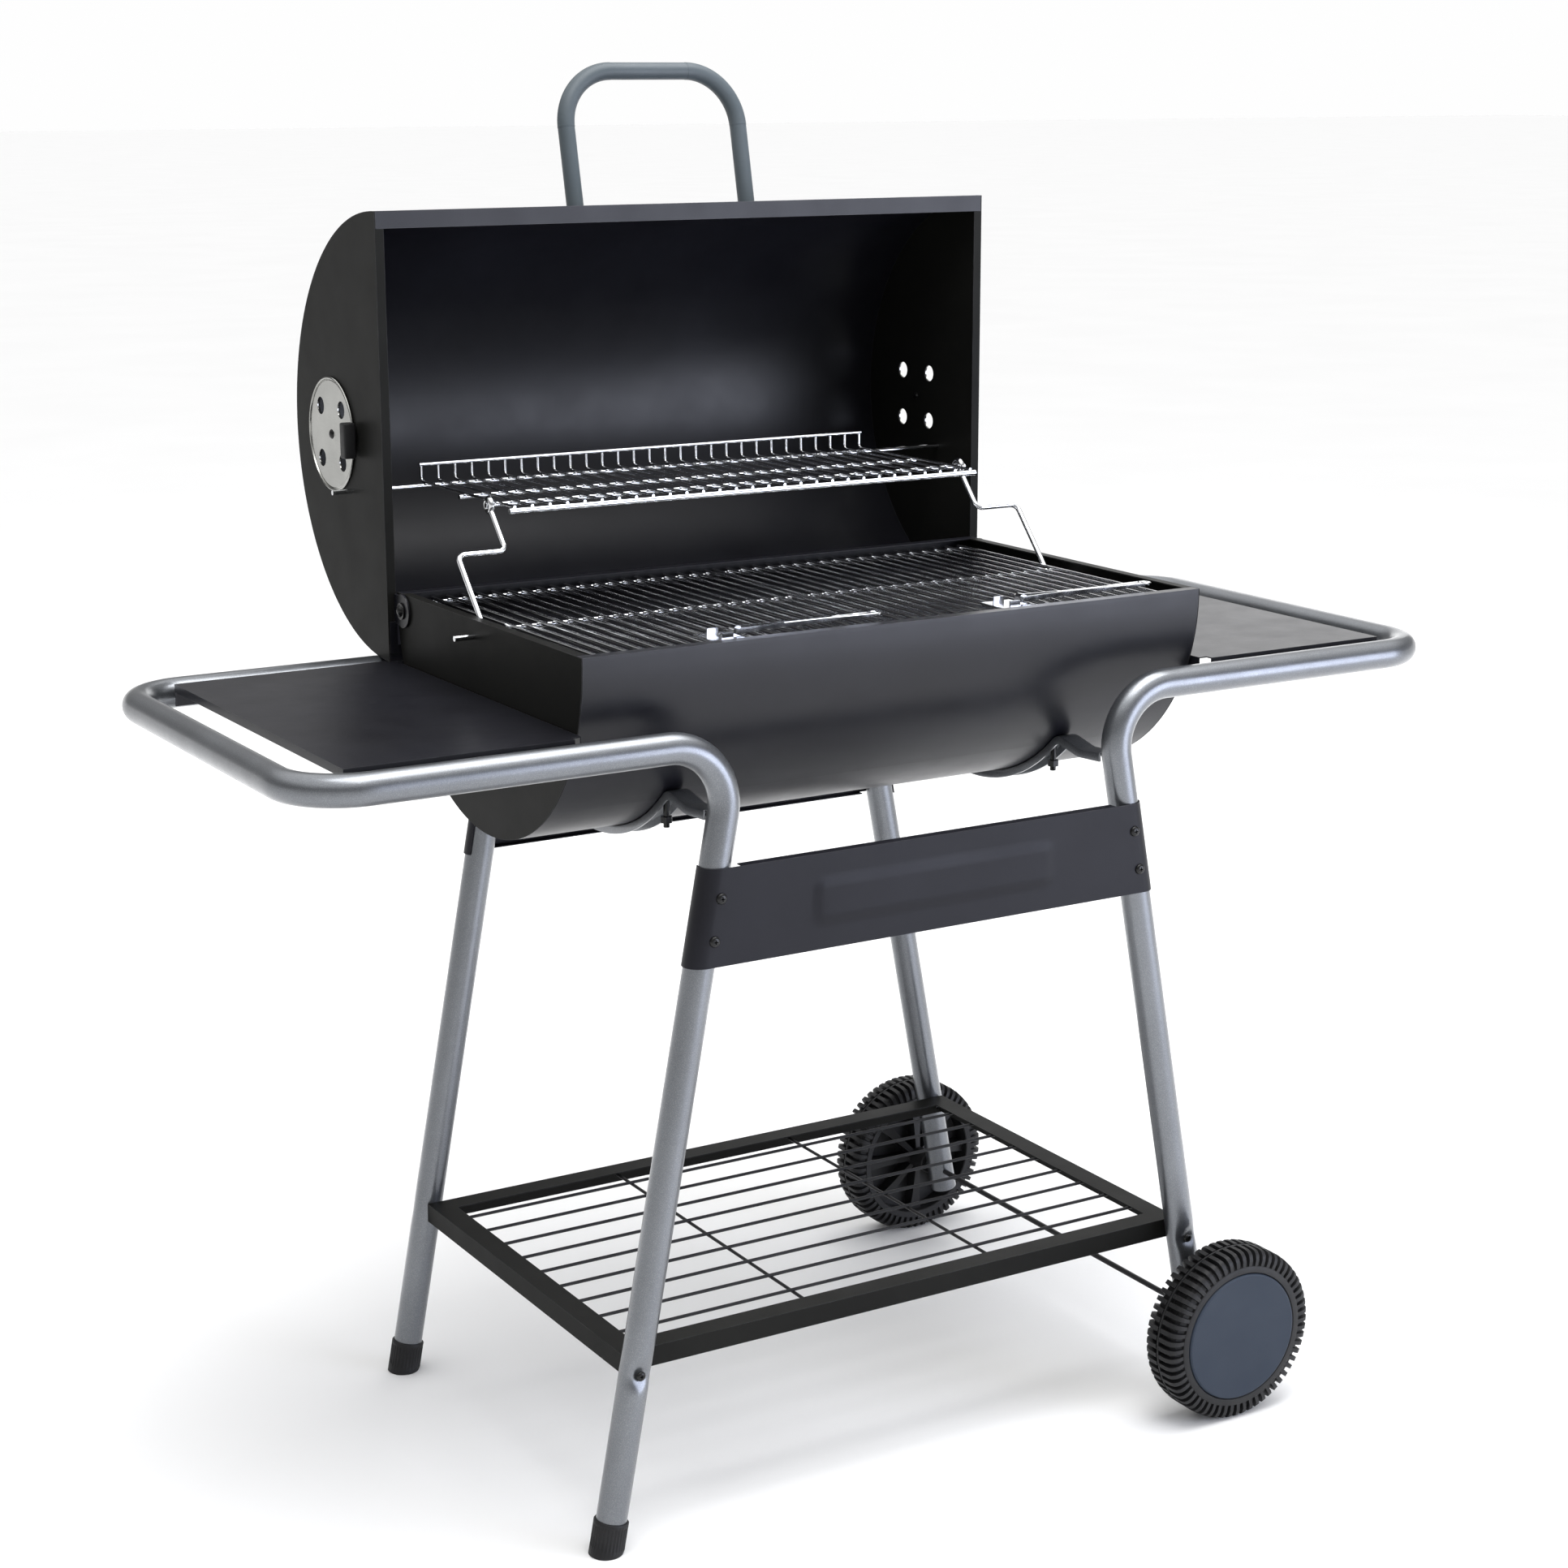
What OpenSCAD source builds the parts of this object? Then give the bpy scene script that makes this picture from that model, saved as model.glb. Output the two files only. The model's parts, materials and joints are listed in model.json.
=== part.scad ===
// Barrel charcoal grill on a two-wheeled tube trolley. +X is the wheel end, -Y the front.
// The lid is drawn open. Dimensions are in millimetres.

/* [Barrel] */
// Length of the barrel over its end plates
barrel_l = 700; // [690:1:704]
// Outer radius of the barrel wrap
barrel_r = 204; // [202:0.5:205]
// Height of the barrel rim above the ground
rim_z = 857; // [855:0.5:858]
// Thickness of the folded sheet steel
sheet = 1.2; // [0.8:0.1:1.4]
// Width of the rim fold along the front and back
rim_lip = 12; // [8:1:14]
// Width of the rim fold along the ends
end_lip = 10; // [6:0.5:10]

/* [Lid] */
// Length of the lid over its end plates
lid_l = 720; // [720:1:726]
// Outer radius of the lid wrap
lid_r = 224; // [223:0.5:224]
// Width of the flange along the front and back of the lid
lid_flange = 17; // [12:1:18]
// Gap between the barrel rim and the closed lid
lid_gap = 0.5; // [0.3:0.1:1]

/* [Linkage] */
// Distance from the barrel's centre back to the hinge bolts
hinge_y = 188; // [186:0.5:189]
// Height of the hinge bolts and of the rack legs' lower pivots
hinge_z = 840; // [838:0.5:841]
// Distance between a rack leg's lower pivot and the hinge bolt
link_base = 164; // [162:0.5:166]
// How far back the link's upper pivot sits with the lid open
link_back = 98; // [96:0.5:99]
// How far up the link's upper pivot sits with the lid open
link_up = 110; // [108:0.5:112]

/* [Trolley] */
// Outer diameter of the frame tube
tube_d = 30; // [28:0.5:30]
// Wall of the frame tube
tube_wall = 1.5; // [1:0.1:2]
// Distance from the centre to the front and back tubes
loop_y = 237; // [236:0.5:240]
// Height of the handle loops
loop_z = 772.5; // [767:0.5:772.5]
// Distance from the centre to the loop ends
loop_x = 630; // [620:1:660]
// Lean of the legs from vertical
lean = 10.7; // [10:0.1:11]
// Radius of the wheels
wheel_r = 92; // [86:1:92]
// Width of the wheels
wheel_w = 48; // [44:1:52]

/* [Shelf and tables] */
// Height of the shelf's top
shelf_z = 190; // [185:1:220]
// Half length of the shelf
shelf_x = 331; // [325:1:331]
// Height of the side tables' top
table_z = 786; // [782:0.5:786]
// Length of a side table
table_l = 232; // [200:1:240]

/* [Hidden] */
$fn = 48;
SIDES = [-1, 1];
fit = 0.06;                              // radial clearance of a running fit
far = 2000;                              // size of a cutting block
bend_swell = 1.02;                       // a bend is a little thicker than its straights
bend_lap = 0.1;                          // how far a straight runs into its bend

// Colours
satin_black = [0.13, 0.13, 0.15];
plain_black = [0.06, 0.06, 0.07];
silver = [0.62, 0.65, 0.69];
slate = [0.27, 0.31, 0.34];
chrome = [0.82, 0.83, 0.85];

// Trolley
tube_r = tube_d / 2;
bend_r = 57;                             // centre-line radius of the leg bends
corner_r = 60;                           // centre-line radius of the loop corners
leg_foot_x = 358.3;                        // leg centre at the ground
function leg_x(z) = leg_foot_x - z * tan(lean);
foot_wall = 2;
foot_h = 33;
foot_sole = 5;
axle_z = wheel_r;
axle_inset = 3;                          // axle centre inside the leg's centre line
axle_x = leg_x(axle_z) - axle_inset;
axle_d = 6;
leg_below_axle = 24;
wheel_inner = 278;                       // inner face of a wheel from the centre
wheel_outer = wheel_inner + wheel_w;
hub_inner = loop_y + tube_r + 4;
hub_outer = wheel_outer - 20;
hub_r = 12;
rim_r = wheel_r - 9;
cap_r = rim_r - 6;
cap_proud = 2;
tyre_shoulder = 8;
wheel_spokes = 8;
spoke_w = 6;
washer_t = 1.6;
washer_d = 16;
push_nut_d = 12;
axle_end = hub_outer + 7;

// Panels, saddles, screws
panel_low = 565;
panel_high = 658;
panel_gap = 0.6;                         // flat sheet's distance from the tube
panel_step = 0.4;                        // the wrapped ends sit this much closer
panel_lap = 3;                           // how far the flat sheet runs over the wrapped ends
panel_return = 12;
panel_wrap = [-30, 130];                 // start and angle of the wrapped ends round the legs
panel_screw_l = 12;
panel_screw_z = [590, 630];
panel_screw_in = 4;                      // screws sit inside the leg's centre line
screw_d = 4;
screw_head_d = 9;
screw_head_h = 2.4;
saddle_z = 702;
saddle_x = leg_x(saddle_z);
saddle_w = 22;
saddle_t = 8.6;
saddle_gap = 0.3;
saddle_arc = 44.8;                       // half angle of the strap under the barrel
saddle_bar = [143, loop_y - tube_r - 0.5];   // ends of the straight bars
saddle_bar_t = 9;
saddle_bolt_y = 130;
saddle_bolt_d = 6;
saddle_nut = [12, 6];                    // width over corners and height
bolt_tip_z = 669;

// Shelf and tables
shelf_y = loop_y - tube_r - 1;
rail_w = 24;
rail_h = 20;
shelf_wire_d = 3.4;
shelf_wire_pitch = 42.5;
shelf_wires_n = 9;
shelf_cross_x = 110;
shelf_wire_in = 12;                      // wires end this far inside the rails
shelf_screw_z = shelf_z - 13;
shelf_screw_d = 5;
shelf_screw_l = 38;
table_x = barrel_l / 2 + 2;              // inner end of a side table
table_y = 212;
table_fold = 22;
table_hem = 8;                           // height of the fold at the outer end
table_notch = [11, 8];
table_screw_x = [60, 190];               // screws from the table's inner end
table_screw_l = 17;
spacer_d = 9;                            // spacers between the tables and the tubes
spacer_end = loop_y - tube_r - 0.2;

// Barrel
barrel_x = barrel_l / 2;
barrel_cz = rim_z - 4;                   // centre of the wrap's arc
ledge_top = 844.4;
ledge_w = 26;
ledge_drop = 20;
ledge_short = 20;                        // distance of the ledges' ends from the end plates
end_skin = barrel_x - sheet;
bolt_d = 6;
bolt_head = [12, 3.4];                   // diameter and height of a domed head
hinge_washer = [17, 1.4];
hinge_nut = [11, 5];
ear_gap = 0.5;
ear_t = 2;
ear_r = 17;
ear_strip = [8, 1.5, 32];                // strip that joins the ear to the lid's flange
ear_x = barrel_x + ear_gap;

// Grates
grate_x0 = 3;
grate_x1 = 322;
grate_y = 185;
grate_wire_d = 4;
grate_wires_n = 20;
grate_rod_d = 5;
grate_rod_y = [181, 11, -163, -181];
weld = 0.6;                              // depth that welded wires sink into each other
grate_wire_z = rim_z - 6;
grate_rod_z = grate_wire_z - (grate_wire_d + grate_rod_d) / 2 + weld;
handle_y = -163;
handle_pivot = [-168, 158];              // pivot x of the left and right grate handle
handle_l = 160;
handle_w = 17;
handle_pin_d = 4;
handle_pin_z = grate_wire_z + grate_wire_d / 2 + 6;
handle_bar_h = 5;                        // height of the handle's bars
handle_fork = 0.3;                       // share of the handle that is forked
handle_end_r = 7;
handle_hole_d = 6;
sleeve_d = 9;
bracket_l = 34;
bracket_w = 40;
bracket_t = 1.5;
bracket_tab = [12, 2, 6];
bracket_tab_y = 14;
coal_z = 738;
coal_y = 165;
coal_x = 330;
coal_wire_d = 5;
coal_wires_n = 23;
coal_rod_y = [-110, 0, 110];

// Linkage: A is a rack leg's lower pivot, P the hinge, B and D the rack's pivots
leg_pivot_y = hinge_y - link_base;
rack_z = hinge_z + link_up;
rack_b_y = hinge_y + link_back;
rack_d_y = leg_pivot_y + link_back;
rack_shift = -10;                        // the rack sits slid towards the left
leg_shift = -4;
rack_leg_d = 5.4;
rack_leg_low_x = 332;
rack_leg_top_x = 280;
rack_leg_jog = 0.63;                     // height of the jog as a share of the leg
rack_pin_out = 366;
rack_leg_bends = [6, 8, 8];
eye_play = 0.5;
eye_wire_d = rack_leg_d + 0.8;           // the leg's wire is flattened a little round the eye
rack_wire_d = 3;
rack_wires_n = 29;
rack_pitch = 19.2;
rack_rod_d = 5;
rack_wire_z = rack_z + (rack_rod_d + rack_wire_d) / 2 - weld;
rack_front_y = 74;
rack_back_y = 296;
rack_turn_up = 16;
rack_rail_d = 6;
rack_top_d = 4;
rack_mid_y = 190;                        // rod under the middle of the wires
rack_pin_left = 382;                     // left end of the rod that pins the rack to the lid
rack_rod_over = 6;                       // how far the rods run past the outer wires
rack_wire_turn = 5;

// Lid
lid_x = lid_l / 2;
lid_skin = lid_x - sheet;
closed_z = rim_z + lid_gap;
hinge_back = 170;                        // hinge bolts' distance behind the closed lid's centre
closed_y = hinge_y - hinge_back;         // centre of the closed lid's arc
open_y = hinge_y + (closed_z - hinge_z);
open_z = hinge_z + (hinge_y - closed_y);
damper_y = 332;
damper_z = 1004;
damper_r = 59;
damper_t = 1.2;
damper_gap = 0.3;
damper_rim = [2, 2.6];                   // width and height of the rolled rim
rivet_head = [10, 2.4];
vent_d = 18;
vent_off = 27;
rivet_d = 5;
knob_y = damper_y - 55;
knob_size = [17, 18, 36];
handle_tube_d = 18;
handle_tube_wall = 1.5;
handle_half = 103;
handle_bend = 58;
handle_lean = 12;
handle_seat = 18.6;                      // angle of the handle's feet round the lid
handle_rise = 148;
lid_screw_d = 6;
lid_screw_head = [12, 3];

// The finished object is centred front to back over its open lid and front wheel
depth_mid = (open_y + lid_r - wheel_outer - cap_proud) / 2;

// ---------------------------------------------------------------- shared shapes

function unit(v) = v / norm(v);
function corner(a, b, c) = acos(unit(a - b) * unit(c - b));
function run_at(p, r, i) = r[i - 1] / tan(corner(p[i - 1], p[i], p[i + 1]) / 2);
function seg_start(p, r, i) =
  i == 0 ? p[0] : p[i] + unit(p[i + 1] - p[i]) * (run_at(p, r, i) - bend_lap);
function seg_end(p, r, i) =
  i == len(p) - 2 ? p[i + 1]
    : p[i + 1] + unit(p[i] - p[i + 1]) * (run_at(p, r, i + 1) - bend_lap);

module stand() {
  translate([0, -depth_mid, 0]) children();
}

module flip(side) {
  if (side < 0) mirror([1, 0, 0]) children();
  else children();
}

module flip_y(side) {
  if (side < 0) mirror([0, 1, 0]) children();
  else children();
}

// Places its child with the child's X, Y and Z along x, y and z, at p
module pose(x, y, z, p) {
  multmatrix([
    [x.x, y.x, z.x, p.x],
    [x.y, y.y, z.y, p.y],
    [x.z, y.z, z.z, p.z],
    [0, 0, 0, 1]
  ]) children();
}

module section(d, bore) {
  difference() {
    circle(d = d);
    if (bore > 0) circle(d = bore);
  }
}

// Straight round bar or tube from p to q
module bar(p, q, d, bore = 0) {
  z = unit(q - p);
  x = unit(cross(abs(z.y) < 0.9 ? [0, 1, 0] : [1, 0, 0], z));
  pose(x, cross(z, x), z, p) linear_extrude(norm(q - p)) section(d, bore);
}

// Round bend of centre-line radius r at corner b, between a and c
module bend(a, b, c, r, d, bore = 0) {
  angle = corner(a, b, c);
  u = unit(a - b);
  v = unit(c - b);
  middle = b + unit(u + v) * r / sin(angle / 2);
  x = unit(b + u * r / tan(angle / 2) - middle);
  z = unit(cross(x, -u));
  pose(x, cross(z, x), z, middle)
    rotate_extrude(angle = 180 - angle) translate([r, 0]) section(d * bend_swell, bore * bend_swell);
}

// Bar or tube bent through points p, with corner radii r
module bent(p, r, d, bore = 0) {
  for (i = [0 : len(p) - 2]) bar(seg_start(p, r, i), seg_end(p, r, i), d, bore);
  for (i = [1 : len(p) - 2]) bend(p[i - 1], p[i], p[i + 1], r[i - 1], d, bore);
}

// Cylinder along +X from x0, or along +Y from y0
module rod_x(x0, x1, y, z, d) {
  translate([x0, y, z]) rotate([0, 90, 0]) cylinder(h = x1 - x0, d = d);
}

module rod_y(x, y0, y1, z, d) {
  translate([x, y0, z]) rotate([-90, 0, 0]) cylinder(h = y1 - y0, d = d);
}

// Y-Z outline (drawn as X-Y) pulled along X from x0 to x1
module along_x(x0, x1) {
  translate([x0, 0, 0]) rotate([90, 0, 90]) linear_extrude(x1 - x0) children();
}

// Turns what is drawn closed about the hinge to the open lid
module opened() {
  translate([0, hinge_y, hinge_z]) rotate([-90, 0, 0]) translate([0, -hinge_y, -hinge_z])
    children();
}

// Domed screw or bolt head standing on the X-Y plane
module dome_head(d, h) {
  r = (d * d / 4 + h * h) / (2 * h);
  intersection() {
    translate([0, 0, h - r]) sphere(r = r);
    cylinder(h = h + 1, d = d);
  }
}

// ---------------------------------------------------------------- trolley

// Frame of a right-hand leg: Z up the leg's axis, from its point on the ground
module on_leg(face) {
  translate([leg_foot_x, face * loop_y, 0]) rotate([0, -lean, 0]) children();
}

module frame_holes(with_axle) {
  for (face = SIDES) {
    rod_y(leg_x(shelf_screw_z), face * loop_y - tube_d, face * loop_y + tube_d,
      shelf_screw_z, shelf_screw_d + 2 * fit);
    for (z = panel_screw_z)
      flip_y(face) rod_y(leg_x(z) - panel_screw_in, loop_y, loop_y + tube_d, z,
        screw_d + 2 * fit);
    for (x = table_screw_x)
      flip_y(face) rod_y(table_x + x, loop_y - tube_d, loop_y, loop_z, screw_d + 2 * fit);
    if (with_axle)
      rod_y(axle_x, face * loop_y - tube_d, face * loop_y + tube_d, axle_z,
        axle_d + 2 * fit);
  }
}

module frame_route(foot_z, d) {
  bent([
    [leg_x(foot_z), -loop_y, foot_z],
    [leg_x(loop_z), -loop_y, loop_z],
    [loop_x, -loop_y, loop_z],
    [loop_x, loop_y, loop_z],
    [leg_x(loop_z), loop_y, loop_z],
    [leg_x(foot_z), loop_y, foot_z]
  ], [bend_r, corner_r, corner_r, bend_r], d);
}

module frame_tube(foot_z, with_axle) {
  difference() {
    frame_route(foot_z, tube_d);
    frame_route(foot_z - 3, tube_d - 2 * tube_wall);
    frame_holes(with_axle);
  }
}

module left_frame_tube() {
  color(silver) stand() flip(-1) frame_tube(foot_sole + 2, false);
}

module right_frame_tube() {
  color(silver) stand() frame_tube(axle_z - leg_below_axle, true);
}

module foot_cap(face) {
  color(plain_black) stand() flip(-1) intersection() {
    on_leg(face) difference() {
      translate([0, 0, -foot_h / 2]) cylinder(h = foot_h * 1.5, r = tube_r + foot_wall);
      translate([0, 0, foot_sole + 1]) cylinder(h = foot_h * 2, r = tube_r + fit);
    }
    translate([0, 0, far / 2]) cube(far, center = true);
  }
}

// Sheet across a pair of legs, with its ends wrapped round them; drawn at the back
module panel() {
  skin = loop_y + tube_r + panel_gap;
  difference() {
    union() {
      translate([0, skin + sheet, 0]) rotate([90, 0, 0]) linear_extrude(sheet) polygon([
        [-leg_x(panel_low) - panel_lap, panel_low],
        [leg_x(panel_low) + panel_lap, panel_low],
        [leg_x(panel_high) + panel_lap, panel_high],
        [-leg_x(panel_high) - panel_lap, panel_high]
      ]);
      for (side = SIDES) flip(side) intersection() {
        on_leg(1) rotate([0, 0, panel_wrap[0]]) rotate_extrude(angle = panel_wrap[1])
          translate([tube_r + panel_gap - panel_step, 0]) square([sheet, far]);
        translate([-far / 2, -far / 2, panel_low]) cube([far, far, panel_high - panel_low]);
      }
      for (z = [panel_low, panel_high - sheet])
        translate([-leg_x(z) + tube_d * 0.6, skin + sheet - panel_return, z])
          cube([2 * leg_x(z) - tube_d * 1.2, panel_return, sheet]);
    }
    for (side = SIDES) for (z = panel_screw_z)
      rod_y(side * (leg_x(z) - panel_screw_in), loop_y, loop_y + tube_d, z,
        screw_d + 2 * fit);
  }
}

module front_panel() {
  color(satin_black) stand() flip_y(-1) panel();
}

module back_panel() {
  color(satin_black) stand() panel();
}

// Pan-head screw along -Y, its head resting on y = seat
module screw_y(x, seat, z, length, d) {
  translate([x, seat, z]) rotate([-90, 0, 0]) union() {
    dome_head(screw_head_d, screw_head_h);
    translate([0, 0, -length]) cylinder(h = length, d = d);
  }
}

module panel_screws() {
  color(plain_black) stand() for (face = SIDES) flip_y(face)
    for (side = SIDES) for (z = panel_screw_z)
      screw_y(side * (leg_x(z) - panel_screw_in), loop_y + tube_r + panel_gap + sheet, z,
        panel_screw_l, screw_d);
}

module saddle() {
  inner = barrel_r + saddle_gap;
  difference() {
    along_x(saddle_x - saddle_w / 2, saddle_x + saddle_w / 2) union() {
      translate([0, barrel_cz]) rotate(-90 - saddle_arc)
        difference() {
          intersection() {
            circle(r = inner + saddle_t, $fn = 96);
            polygon([
              [0, 0],
              [far, 0],
              [far, far],
              [far * cos(2 * saddle_arc), far * sin(2 * saddle_arc)]
            ]);
          }
          circle(r = inner, $fn = 96);
        }
      for (side = SIDES)
        translate([side > 0 ? saddle_bar[0] : -saddle_bar[1], saddle_z - 5])
          square([saddle_bar[1] - saddle_bar[0], saddle_bar_t]);
    }
    for (side = SIDES) translate([saddle_x, side * saddle_bolt_y, bolt_tip_z])
      cylinder(h = 60, d = saddle_bolt_d + 2 * fit);
  }
}

module left_saddle() {
  color(silver) stand() flip(-1) saddle();
}

module right_saddle() {
  color(silver) stand() saddle();
}

module saddle_places() {
  for (sx = SIDES) for (sy = SIDES) translate([sx * saddle_x, sy * saddle_bolt_y, 0]) children();
}

function wrap_low(y, r) = barrel_cz - sqrt(r * r - y * y);

module saddle_bolts() {
  head_z = wrap_low(saddle_bolt_y + bolt_head[0] / 2, barrel_r - sheet) + 0.3;
  color(plain_black) stand() saddle_places() union() {
    translate([0, 0, head_z]) dome_head(bolt_head[0], bolt_head[1]);
    translate([0, 0, bolt_tip_z]) cylinder(h = head_z - bolt_tip_z + 1, d = saddle_bolt_d);
  }
}

module saddle_nuts() {
  top = wrap_low(saddle_bolt_y - saddle_nut[0] / 2, barrel_r + saddle_gap + saddle_t) - 0.3;
  color(plain_black) stand() saddle_places() translate([0, 0, top - saddle_nut[1]]) difference() {
    cylinder(h = saddle_nut[1], d = saddle_nut[0], $fn = 6);
    translate([0, 0, -1]) cylinder(h = saddle_nut[1] + 2, d = saddle_bolt_d + 2 * fit);
  }
}

// ---------------------------------------------------------------- tables and shelf

module side_table() {
  inside = [table_l - 2 * sheet, 2 * (table_y - sheet), table_fold + 1 - sheet];
  difference() {
    union() {
      difference() {
        translate([table_x, -table_y, table_z - table_fold]) cube([table_l, 2 * table_y, table_fold]);
        translate([table_x + sheet, -table_y + sheet, table_z - table_fold - 1]) cube(inside);
        translate([table_x + table_l - sheet - 1, -table_y + sheet + 0.5, table_z - table_hem - far])
          cube([far, 2 * (table_y - sheet - 0.5), far]);
      }
      for (face = SIDES) flip_y(face) for (x = table_screw_x)
        rod_y(table_x + x, table_y - 0.5, spacer_end, loop_z, spacer_d);
    }
    for (face = SIDES) flip_y(face) for (x = table_screw_x)
      rod_y(table_x + x, table_y - 5, spacer_end + 5, loop_z, screw_d + 2 * fit);
    for (face = SIDES) flip_y(face)
      translate([table_x - 1, table_y - table_notch.y, table_z - far / 2])
        cube([table_notch.x, far, far]);
  }
}

module left_side_table() {
  color(satin_black) stand() flip(-1) side_table();
}

module right_side_table() {
  color(satin_black) stand() side_table();
}

module table_screws() {
  color(plain_black) stand() for (side = SIDES) for (face = SIDES) flip_y(-face)
    for (x = table_screw_x)
      screw_y(side * (table_x + x), sheet - table_y, loop_z, table_screw_l, screw_d);
}

module shelf_frame() {
  color(plain_black) stand() difference() {
    translate([-shelf_x, -shelf_y, shelf_z - rail_h]) cube([2 * shelf_x, 2 * shelf_y, rail_h]);
    translate([-shelf_x + sheet, -shelf_y + sheet, shelf_z - rail_h - 1])
      cube([2 * (shelf_x - sheet), 2 * (shelf_y - sheet), rail_h + 1 - sheet]);
    translate([-shelf_x + rail_w, -shelf_y + rail_w, shelf_z - rail_h])
      cube([2 * (shelf_x - rail_w), 2 * (shelf_y - rail_w), far]);
    for (side = SIDES) for (face = SIDES)
      rod_y(side * leg_x(shelf_screw_z), face * shelf_y - 5, face * shelf_y + 5,
        shelf_screw_z, shelf_screw_d + 2 * fit);
  }
}

module shelf_wires() {
  wire_z = shelf_z - sheet - shelf_wire_d / 2;
  cross_z = wire_z - shelf_wire_d + weld;
  color(plain_black) stand() union() {
    for (i = [0 : shelf_wires_n - 1])
      rod_x(-shelf_x + shelf_wire_in, shelf_x - shelf_wire_in,
        (i - (shelf_wires_n - 1) / 2) * shelf_wire_pitch, wire_z, shelf_wire_d);
    for (side = SIDES)
      rod_y(side * shelf_cross_x, -shelf_y + shelf_wire_in, shelf_y - shelf_wire_in, cross_z,
        shelf_wire_d);
  }
}

module shelf_screws() {
  color(plain_black) stand() for (face = SIDES) flip_y(face) for (side = SIDES)
    screw_y(side * leg_x(shelf_screw_z), loop_y + tube_r, shelf_screw_z, shelf_screw_l,
      shelf_screw_d);
}

// ---------------------------------------------------------------- axle and wheels

module axle() {
  color(plain_black) stand() rod_y(axle_x, -axle_end, axle_end, axle_z, axle_d);
}

module axle_ring(y0, y1, d) {
  for (face = SIDES) flip_y(face) difference() {
    rod_y(axle_x, y0, y1, axle_z, d);
    rod_y(axle_x, y0 - 1, y1 + 1, axle_z, axle_d + 2 * fit);
  }
}

module axle_washers() {
  y0 = loop_y + tube_r + 0.6;
  color(chrome) stand() axle_ring(y0, y0 + washer_t, washer_d);
}

module axle_push_nuts() {
  color(chrome) stand() axle_ring(hub_outer + 0.5, hub_outer + 3.5, push_nut_d);
}

// Wheel turned about its own axis, drawn with that axis up and its inner face low
module wheel_body() {
  difference() {
    union() {
      rotate_extrude($fn = 96) union() {
        translate([0, hub_inner]) square([hub_r, hub_outer - hub_inner]);
        translate([hub_r - 1, hub_outer - 8]) square([rim_r - hub_r, 4]);
        translate([rim_r - 5, wheel_inner]) square([6, wheel_w]);
        polygon([
          [rim_r, wheel_inner + 1],
          [wheel_r - 3, wheel_inner + 2],
          [wheel_r, wheel_inner + tyre_shoulder],
          [wheel_r, wheel_outer - tyre_shoulder],
          [wheel_r - 3, wheel_outer - 2],
          [rim_r, wheel_outer - 1]
        ]);
      }
      for (i = [0 : wheel_spokes - 1]) rotate(i * 360 / wheel_spokes)
        translate([hub_r - 2, -spoke_w / 2, wheel_inner + 5])
          cube([rim_r - hub_r - 1, spoke_w, hub_outer - wheel_inner - 12]);
    }
    translate([0, 0, hub_inner - 1]) cylinder(h = wheel_w * 2, d = axle_d + 2 * fit);
  }
}

module at_wheel(face) {
  stand() flip_y(face) translate([axle_x, 0, axle_z]) rotate([-90, 0, 0]) children();
}

module front_wheel() {
  color(plain_black) at_wheel(-1) wheel_body();
}

module back_wheel() {
  color(plain_black) at_wheel(1) wheel_body();
}

module wheel_cap() {
  rotate_extrude($fn = 96) union() {
    translate([0, wheel_outer - 4]) square([cap_r, 4 + cap_proud]);
    translate([cap_r - 3, hub_outer - 4 + 0.2]) square([2.6, wheel_outer - hub_outer + 1]);
  }
}

module front_wheel_cap() {
  color(slate) at_wheel(-1) wheel_cap();
}

module back_wheel_cap() {
  color(slate) at_wheel(1) wheel_cap();
}

// ---------------------------------------------------------------- barrel

module barrel_outline(inset) {
  union() {
    translate([0, barrel_cz]) intersection() {
      circle(r = barrel_r - inset, $fn = 128);
      translate([-far / 2, -far]) square([far, far]);
    }
    translate([-barrel_r + inset, barrel_cz - 0.01])
      square([2 * (barrel_r - inset), rim_z - barrel_cz + 0.01]);
  }
}

module barrel_wrap() {
  color(satin_black) stand() difference() {
    union() {
      along_x(-end_skin, end_skin) difference() {
        barrel_outline(0);
        translate([0, 0.02]) barrel_outline(sheet);
      }
      for (face = SIDES) flip_y(face) along_x(-end_skin, end_skin)
        translate([barrel_r - rim_lip, rim_z - sheet]) square([rim_lip - sheet / 2, sheet]);
    }
    saddle_places() translate([0, 0, bolt_tip_z]) cylinder(h = 60, d = saddle_bolt_d + 2 * fit);
  }
}

module barrel_end() {
  difference() {
    union() {
      along_x(end_skin, barrel_x) barrel_outline(0);
      translate([barrel_x - end_lip, -barrel_r + rim_lip + 1, rim_z - sheet])
        cube([end_lip - sheet / 2, 2 * (barrel_r - rim_lip - 1), sheet]);
    }
    rod_x(end_skin - 5, barrel_x + 5, hinge_y, hinge_z, bolt_d + 2 * fit);
    rod_x(end_skin - 5, barrel_x + 5, leg_pivot_y, hinge_z, rack_leg_d + 2 * fit);
  }
}

module barrel_left_end() {
  color(satin_black) stand() flip(-1) barrel_end();
}

module barrel_right_end() {
  color(satin_black) stand() barrel_end();
}

// Angle strip under the grates; drawn at the back
module grate_ledge() {
  outer = barrel_r - 1.7;
  along_x(-end_skin + ledge_short, end_skin - ledge_short) union() {
    translate([outer - ledge_w, ledge_top - 1.5]) square([ledge_w, 1.5]);
    translate([outer - 4.2, ledge_top - ledge_drop]) square([1.5, ledge_drop - 1]);
  }
}

module front_grate_ledge() {
  color(satin_black) stand() flip_y(-1) grate_ledge();
}

module back_grate_ledge() {
  color(satin_black) stand() grate_ledge();
}

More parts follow.
